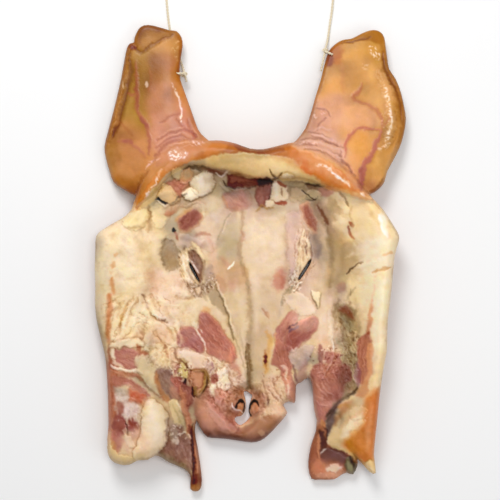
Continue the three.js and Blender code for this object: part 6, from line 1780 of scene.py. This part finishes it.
LOW = np.maximum(LOW, 0.0)
TOP = np.maximum(TOP, LOW + 1.2 * ramp(EDGE, 0.0, 1.6))

# down the rounded rim the colours run smoothly, with a little of the skin's own brown low on it
_out = np.repeat(np.repeat(OUTER, STEP, 0), STEP, 1)[: C.shape[0], : C.shape[1]]
_out = np.pad(_out, ((0, C.shape[0] - _out.shape[0]), (0, C.shape[1] - _out.shape[1])), mode="edge")
_has = (_out > 0.2).astype(np.float32)[..., None] * np.ones(3, np.float32)
_even = blur(C * _has, 4.0) / (blur(_has, 4.0) + 1e-3)
_rim = (1 - ramp(_out, 1.0, 3.6))[..., None] * np.minimum(1.0, blur(_has, 4.0) * 4)
C += (np.clip(_even, 0, 1) - C) * 0.85 * _rim

# ---- one closed mesh ------------------------------------------------------------------
gy, gx = np.gradient(EDGE, 1.0 / SCALE * STEP)
norm = np.hypot(gx, gy) + 1e-6
cell = STEP / SCALE
snap = np.abs(EDGE) < 0.5 * cell
U2 = np.where(snap, X - EDGE * gx / norm**2, X)
V2 = np.where(snap, Y - EDGE * gy / norm**2, Y)
limit = 0.75 * cell
U2 = np.clip(U2, X - limit, X + limit)
V2 = np.clip(V2, Y - limit, Y + limit)
keep = EDGE > -0.5 * cell
rows, cols = X.shape
ids = np.arange(rows * cols).reshape(rows, cols)
a, b, c, d = ids[:-1, :-1], ids[:-1, 1:], ids[1:, 1:], ids[1:, :-1]
ka, kb, kc, kd = keep[:-1, :-1], keep[:-1, 1:], keep[1:, 1:], keep[1:, :-1]
count = ka.astype(int) + kb + kc + kd
quads = np.stack([a, d, c, b], -1)[count == 4]
tris = []
for missing, corners in ((ka, (d, c, b)), (kb, (a, d, c)), (kc, (a, d, b)), (kd, (a, c, b))):
    tris.append(np.stack(corners, -1)[(count == 3) & ~missing])
tris = np.concatenate(tris)


def largest(quads, tris, n):
    """Keeps the one connected sheet with the most vertices."""
    label = np.arange(n)
    edges = np.concatenate(
        [quads[:, [0, 1]], quads[:, [1, 2]], quads[:, [2, 3]], tris[:, [0, 1]], tris[:, [1, 2]]]
    )
    for _ in range(400):
        low = np.minimum(label[edges[:, 0]], label[edges[:, 1]])
        before = label.copy()
        np.minimum.at(label, edges[:, 0], low)
        np.minimum.at(label, edges[:, 1], low)
        label = label[label]
        label = label[label]
        if np.array_equal(before, label):
            break
    used = np.unique(np.concatenate([quads.ravel(), tris.ravel()]))
    values, counts = np.unique(label[used], return_counts=True)
    best = values[np.argmax(counts)]
    return quads[label[quads[:, 0]] == best], tris[label[tris[:, 0]] == best]


quads, tris = largest(quads, tris, rows * cols)

# an edge used by one face only is on the outline: its two corners are shared by both sides
every = np.concatenate(
    [np.stack([f[:, i], f[:, (i + 1) % f.shape[1]]], 1) for f in (quads, tris) for i in range(f.shape[1])]
)
key = np.sort(every, 1)
key = key[:, 0].astype(np.int64) * (rows * cols) + key[:, 1]
_, first, times = np.unique(key, return_index=True, return_counts=True)
rim_ids = np.unique(every[first[times == 1]])
used = np.unique(np.concatenate([quads.ravel(), tris.ravel()]))
is_rim = np.zeros(rows * cols, bool)
is_rim[rim_ids] = True

top_index = np.full(rows * cols, -1)
top_index[used] = np.arange(len(used))
low_used = used[~is_rim[used]]
low_index = top_index.copy()
low_index[low_used] = len(used) + np.arange(len(low_used))


def sample(grid, u, v):
    """Bilinear values of a canvas grid at drawing positions."""
    x = np.clip((u - PU0) * SCALE / STEP, 0, cols - 1.001)
    y = np.clip((v - PV0) * SCALE / STEP, 0, rows - 1.001)
    i, j = y.astype(int), x.astype(int)
    fy, fx = y - i, x - j
    if grid.ndim == 3:
        fy, fx = fy[:, None], fx[:, None]
    return (grid[i, j] * (1 - fx) + grid[i, j + 1] * fx) * (1 - fy) + (
        grid[i + 1, j] * (1 - fx) + grid[i + 1, j + 1] * fx
    ) * fy


u_all, v_all = U2.ravel(), V2.ravel()
ut, vt = u_all[used], v_all[used]
ul, vl = u_all[low_used], v_all[low_used]
zt = sample(TOP, ut, vt)
zr = sample((TOP + LOW) / 2, ut, vt)
zt = np.where(is_rim[used], zr, zt)
zl = sample(LOW, ul, vl)
uu, vv, zz = np.concatenate([ut, ul]), np.concatenate([vt, vl]), np.concatenate([zt, zl]) / 1000
k = 1 - (zz - SPLAY_HEIGHT) / SPLAY_REACH
coords = np.stack([(uu - MIDDLE) * UNIT * k - CENTRE_X, (MIDDLE - vv) * UNIT * k + CENTRE_Y, zz], 1)

top_quads, top_tris = top_index[quads], top_index[tris]
low_quads, low_tris = low_index[quads][:, ::-1], low_index[tris][:, ::-1]
# a face whose corners are all on the rim would be doubled: the two sides share it
loops = np.concatenate([top_quads.ravel(), low_quads.ravel(), top_tris.ravel(), low_tris.ravel()])
sizes = np.concatenate([np.full(len(top_quads) * 2, 4), np.full(len(top_tris) * 2, 3)])
starts = np.concatenate([[0], np.cumsum(sizes)[:-1]])
head_mesh = bpy.data.meshes.new("cured_pig_head")
head_mesh.vertices.add(len(coords))
head_mesh.vertices.foreach_set("co", coords.astype(np.float32).ravel())
head_mesh.loops.add(len(loops))
head_mesh.loops.foreach_set("vertex_index", loops.astype(np.int32))
head_mesh.polygons.add(len(sizes))
head_mesh.polygons.foreach_set("loop_start", starts.astype(np.int32))
head_mesh.polygons.foreach_set("loop_total", sizes.astype(np.int32))
head_mesh.polygons.foreach_set("use_smooth", np.ones(len(sizes), bool))
head_mesh.update(calc_edges=True)
head_mesh.validate()
head = bpy.data.objects.new("cured_pig_head", head_mesh)
bpy.context.collection.objects.link(head)


def linear(c):
    c = np.clip(c, 0, 1)
    return np.where(c <= 0.04045, c / 12.92, ((c + 0.055) / 1.055) ** 2.4)


HAZE = 0.027
GAIN = np.array([0.93, 0.905, 0.89], np.float32)
colour = soften(C, 1)[::STEP, ::STEP]
gloss = soften(G, 1)[::STEP, ::STEP]
meat = soften(M, 1)[::STEP, ::STEP]
ct = sample(colour, ut, vt)
cl = sample(B_C, ul, vl)
rgba = np.ones((len(coords), 4), np.float32)
# the finish's own sheen lies over the colour, so the colour is set a little deeper
rgba[:, :3] = np.clip((linear(np.concatenate([ct, cl])) - HAZE) / GAIN, 0.004, 0.95)
paint = head_mesh.attributes.new("paint", "FLOAT_COLOR", "POINT")
paint.data.foreach_set("color", rgba.ravel())
for name, grid, low_value in (("gloss", gloss, 0.5), ("meat", meat, 0.0)):
    attribute = head_mesh.attributes.new(name, "FLOAT", "POINT")
    values = np.concatenate([sample(grid, ut, vt), np.full(len(ul), low_value)])
    attribute.data.foreach_set("value", values.astype(np.float32))

# a flat map: the flesh side in the left half, the skin side in the right
layer = head_mesh.uv_layers.new(name="OFBake")
vertex = np.empty(len(head_mesh.loops), np.int32)
head_mesh.loops.foreach_get("vertex_index", vertex)
n_top, n_low = top_quads.size, low_quads.size
flesh = np.concatenate(
    [np.ones(n_top, bool), np.zeros(n_low, bool), np.ones(top_tris.size, bool), np.zeros(low_tris.size, bool)]
)
x = (uu[vertex] - PU0) / (PU1 - PU0) * 0.49 + 0.005
y = 1 - ((vv[vertex] - PV0) / (PV1 - PV0) * 0.99 + 0.005)
if len(vertex) == len(flesh):
    x = np.where(flesh, x, x + 0.5)
layer.data.foreach_set("uv", np.stack([x, y], 1).astype(np.float32).ravel())
print("head:", len(coords), "vertices", len(sizes), "faces", "z", coords[:, 2].min(), coords[:, 2].max())

# ---- finishes --------------------------------------------------------------------------


def new_material(name):
    m = bpy.data.materials.new(name)
    m.use_nodes = True
    nodes = m.node_tree.nodes
    return m, nodes, m.node_tree.links, nodes["Principled BSDF"]


flesh_finish, nodes, links, shader = new_material("cured_flesh")
attribute = nodes.new("ShaderNodeAttribute")
attribute.attribute_name = "paint"
gloss_in = nodes.new("ShaderNodeAttribute")
gloss_in.attribute_name = "gloss"
meat_in = nodes.new("ShaderNodeAttribute")
meat_in.attribute_name = "meat"
where = nodes.new("ShaderNodeTexCoord")


def noise_node(scale, detail, rough=0.55):
    n = nodes.new("ShaderNodeTexNoise")
    n.inputs["Scale"].default_value = scale
    n.inputs["Detail"].default_value = detail
    n.inputs["Roughness"].default_value = rough
    links.new(where.outputs["Object"], n.inputs["Vector"])
    return n


def math_node(operation, a, b=None):
    n = nodes.new("ShaderNodeMath")
    n.operation = operation
    for i, v in enumerate((a, b)):
        if v is None:
            continue
        if isinstance(v, (int, float)):
            n.inputs[i].default_value = v
        else:
            links.new(v, n.inputs[i])
    return n.outputs[0]


fine = noise_node(520, 4)
broad = noise_node(110, 3)
# fat and meat vary a little in tone over a millimetre or two
tone = math_node("ADD", math_node("MULTIPLY", fine.outputs["Fac"], 0.05), 0.975)
tone = math_node("MULTIPLY", tone, math_node("ADD", math_node("MULTIPLY", broad.outputs["Fac"], 0.06), 0.97))
scale_colour = nodes.new("ShaderNodeVectorMath")
scale_colour.operation = "SCALE"
links.new(attribute.outputs["Color"], scale_colour.inputs[0])
links.new(tone, scale_colour.inputs["Scale"])
links.new(scale_colour.outputs[0], shader.inputs["Base Color"])
rough = math_node("SUBTRACT", 0.60, math_node("MULTIPLY", gloss_in.outputs["Fac"], 0.46))
rough = math_node("ADD", rough, math_node("MULTIPLY", broad.outputs["Fac"], 0.10))
links.new(rough, shader.inputs["Roughness"])
shader.inputs["IOR"].default_value = 1.42
shader.inputs["Specular IOR Level"].default_value = 0.30
shader.inputs["Subsurface Weight"].default_value = 0.10
shader.inputs["Subsurface Radius"].default_value = (0.9, 0.42, 0.22)
shader.inputs["Subsurface Scale"].default_value = 0.004
shader.inputs["Coat Weight"].default_value = 0.10
shader.inputs["Coat Roughness"].default_value = 0.22
cells = nodes.new("ShaderNodeTexVoronoi")
cells.inputs["Scale"].default_value = 420
links.new(where.outputs["Object"], cells.inputs["Vector"])
stretch = nodes.new("ShaderNodeMapping")
stretch.inputs["Scale"].default_value = (1.0, 0.18, 1.0)
stretch.inputs["Rotation"].default_value = (0, 0, 0.5)
links.new(where.outputs["Object"], stretch.inputs["Vector"])
threads = nodes.new("ShaderNodeTexNoise")
threads.inputs["Scale"].default_value = 900
threads.inputs["Detail"].default_value = 3
links.new(stretch.outputs[0], threads.inputs["Vector"])
bump_height = math_node(
    "ADD",
    math_node("MULTIPLY", fine.outputs["Fac"], 1.0),
    math_node("MULTIPLY", cells.outputs["Distance"], 0.35),
)
bump_height = math_node(
    "ADD", bump_height, math_node("MULTIPLY", math_node("MULTIPLY", threads.outputs["Fac"], meat_in.outputs["Fac"]), 0.8)
)
bump = nodes.new("ShaderNodeBump")
bump.inputs["Strength"].default_value = 0.40
bump.inputs["Distance"].default_value = 0.0006
links.new(bump_height, bump.inputs["Height"])
links.new(bump.outputs["Normal"], shader.inputs["Normal"])
head_mesh.materials.append(flesh_finish)

twine_finish, nodes, links, shader = new_material("twine")
where = nodes.new("ShaderNodeTexCoord")
n1 = noise_node(900, 3)
mix = nodes.new("ShaderNodeMix")
mix.data_type = "RGBA"
mix.inputs["A"].default_value = (0.72, 0.60, 0.40, 1)
mix.inputs["B"].default_value = (0.86, 0.78, 0.60, 1)
links.new(n1.outputs["Fac"], mix.inputs["Factor"])
links.new(mix.outputs["Result"], shader.inputs["Base Color"])
shader.inputs["Roughness"].default_value = 0.9
bump = nodes.new("ShaderNodeBump")
bump.inputs["Strength"].default_value = 0.5
bump.inputs["Distance"].default_value = 0.0002
links.new(n1.outputs["Fac"], bump.inputs["Height"])
links.new(bump.outputs["Normal"], shader.inputs["Normal"])

# ---- floor and light ---------------------------------------------------------------------
bpy.ops.mesh.primitive_plane_add(size=8, location=(0, 0, -0.0003))
floor = bpy.context.object
floor.name = "floor"
floor_finish, nodes, links, shader = new_material("floor")
shader.inputs["Base Color"].default_value = (0.93, 0.93, 0.93, 1)
shader.inputs["Roughness"].default_value = 0.9
shader.inputs["Specular IOR Level"].default_value = 0.1
floor.data.materials.append(floor_finish)

world = bpy.data.worlds.new("studio")
world.use_nodes = True
world.node_tree.nodes["Background"].inputs["Color"].default_value = (1.0, 1.0, 1.0, 1)
world.node_tree.nodes["Background"].inputs["Strength"].default_value = 0.42
bpy.context.scene.world = world


def area_light(name, location, size, power, target=(0, 0, 0.03), colour=(1, 1, 1)):
    data = bpy.data.lights.new(name, "AREA")
    data.shape = "DISK"
    data.size = size
    data.energy = power
    data.color = colour
    lamp = bpy.data.objects.new(name, data)
    bpy.context.collection.objects.link(lamp)
    lamp.location = location
    away = np.array(target, float) - np.array(location, float)
    away /= np.linalg.norm(away)
    lamp.rotation_euler = (math.acos(-away[2]), 0, math.atan2(away[1], away[0]) - math.pi / 2)
    return lamp


area_light("key", (-0.30, 1.15, 1.35), 0.7, 15)
area_light("front", (0.30, 0.20, 1.95), 0.6, 8)
area_light("fill", (0.9, -0.5, 1.3), 0.9, 2.5)

view = bpy.context.scene.view_settings
view.view_transform = "Standard"
view.look = "None"
view.exposure = 0.0
view.gamma = 1.0

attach(head, "root")
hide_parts("cured_head")
for side, cord, knots, path, length, start in twines:
    for piece in [cord] + knots:
        piece.data.materials.append(twine_finish)
        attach(piece, "root")
        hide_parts("twine_" + side)
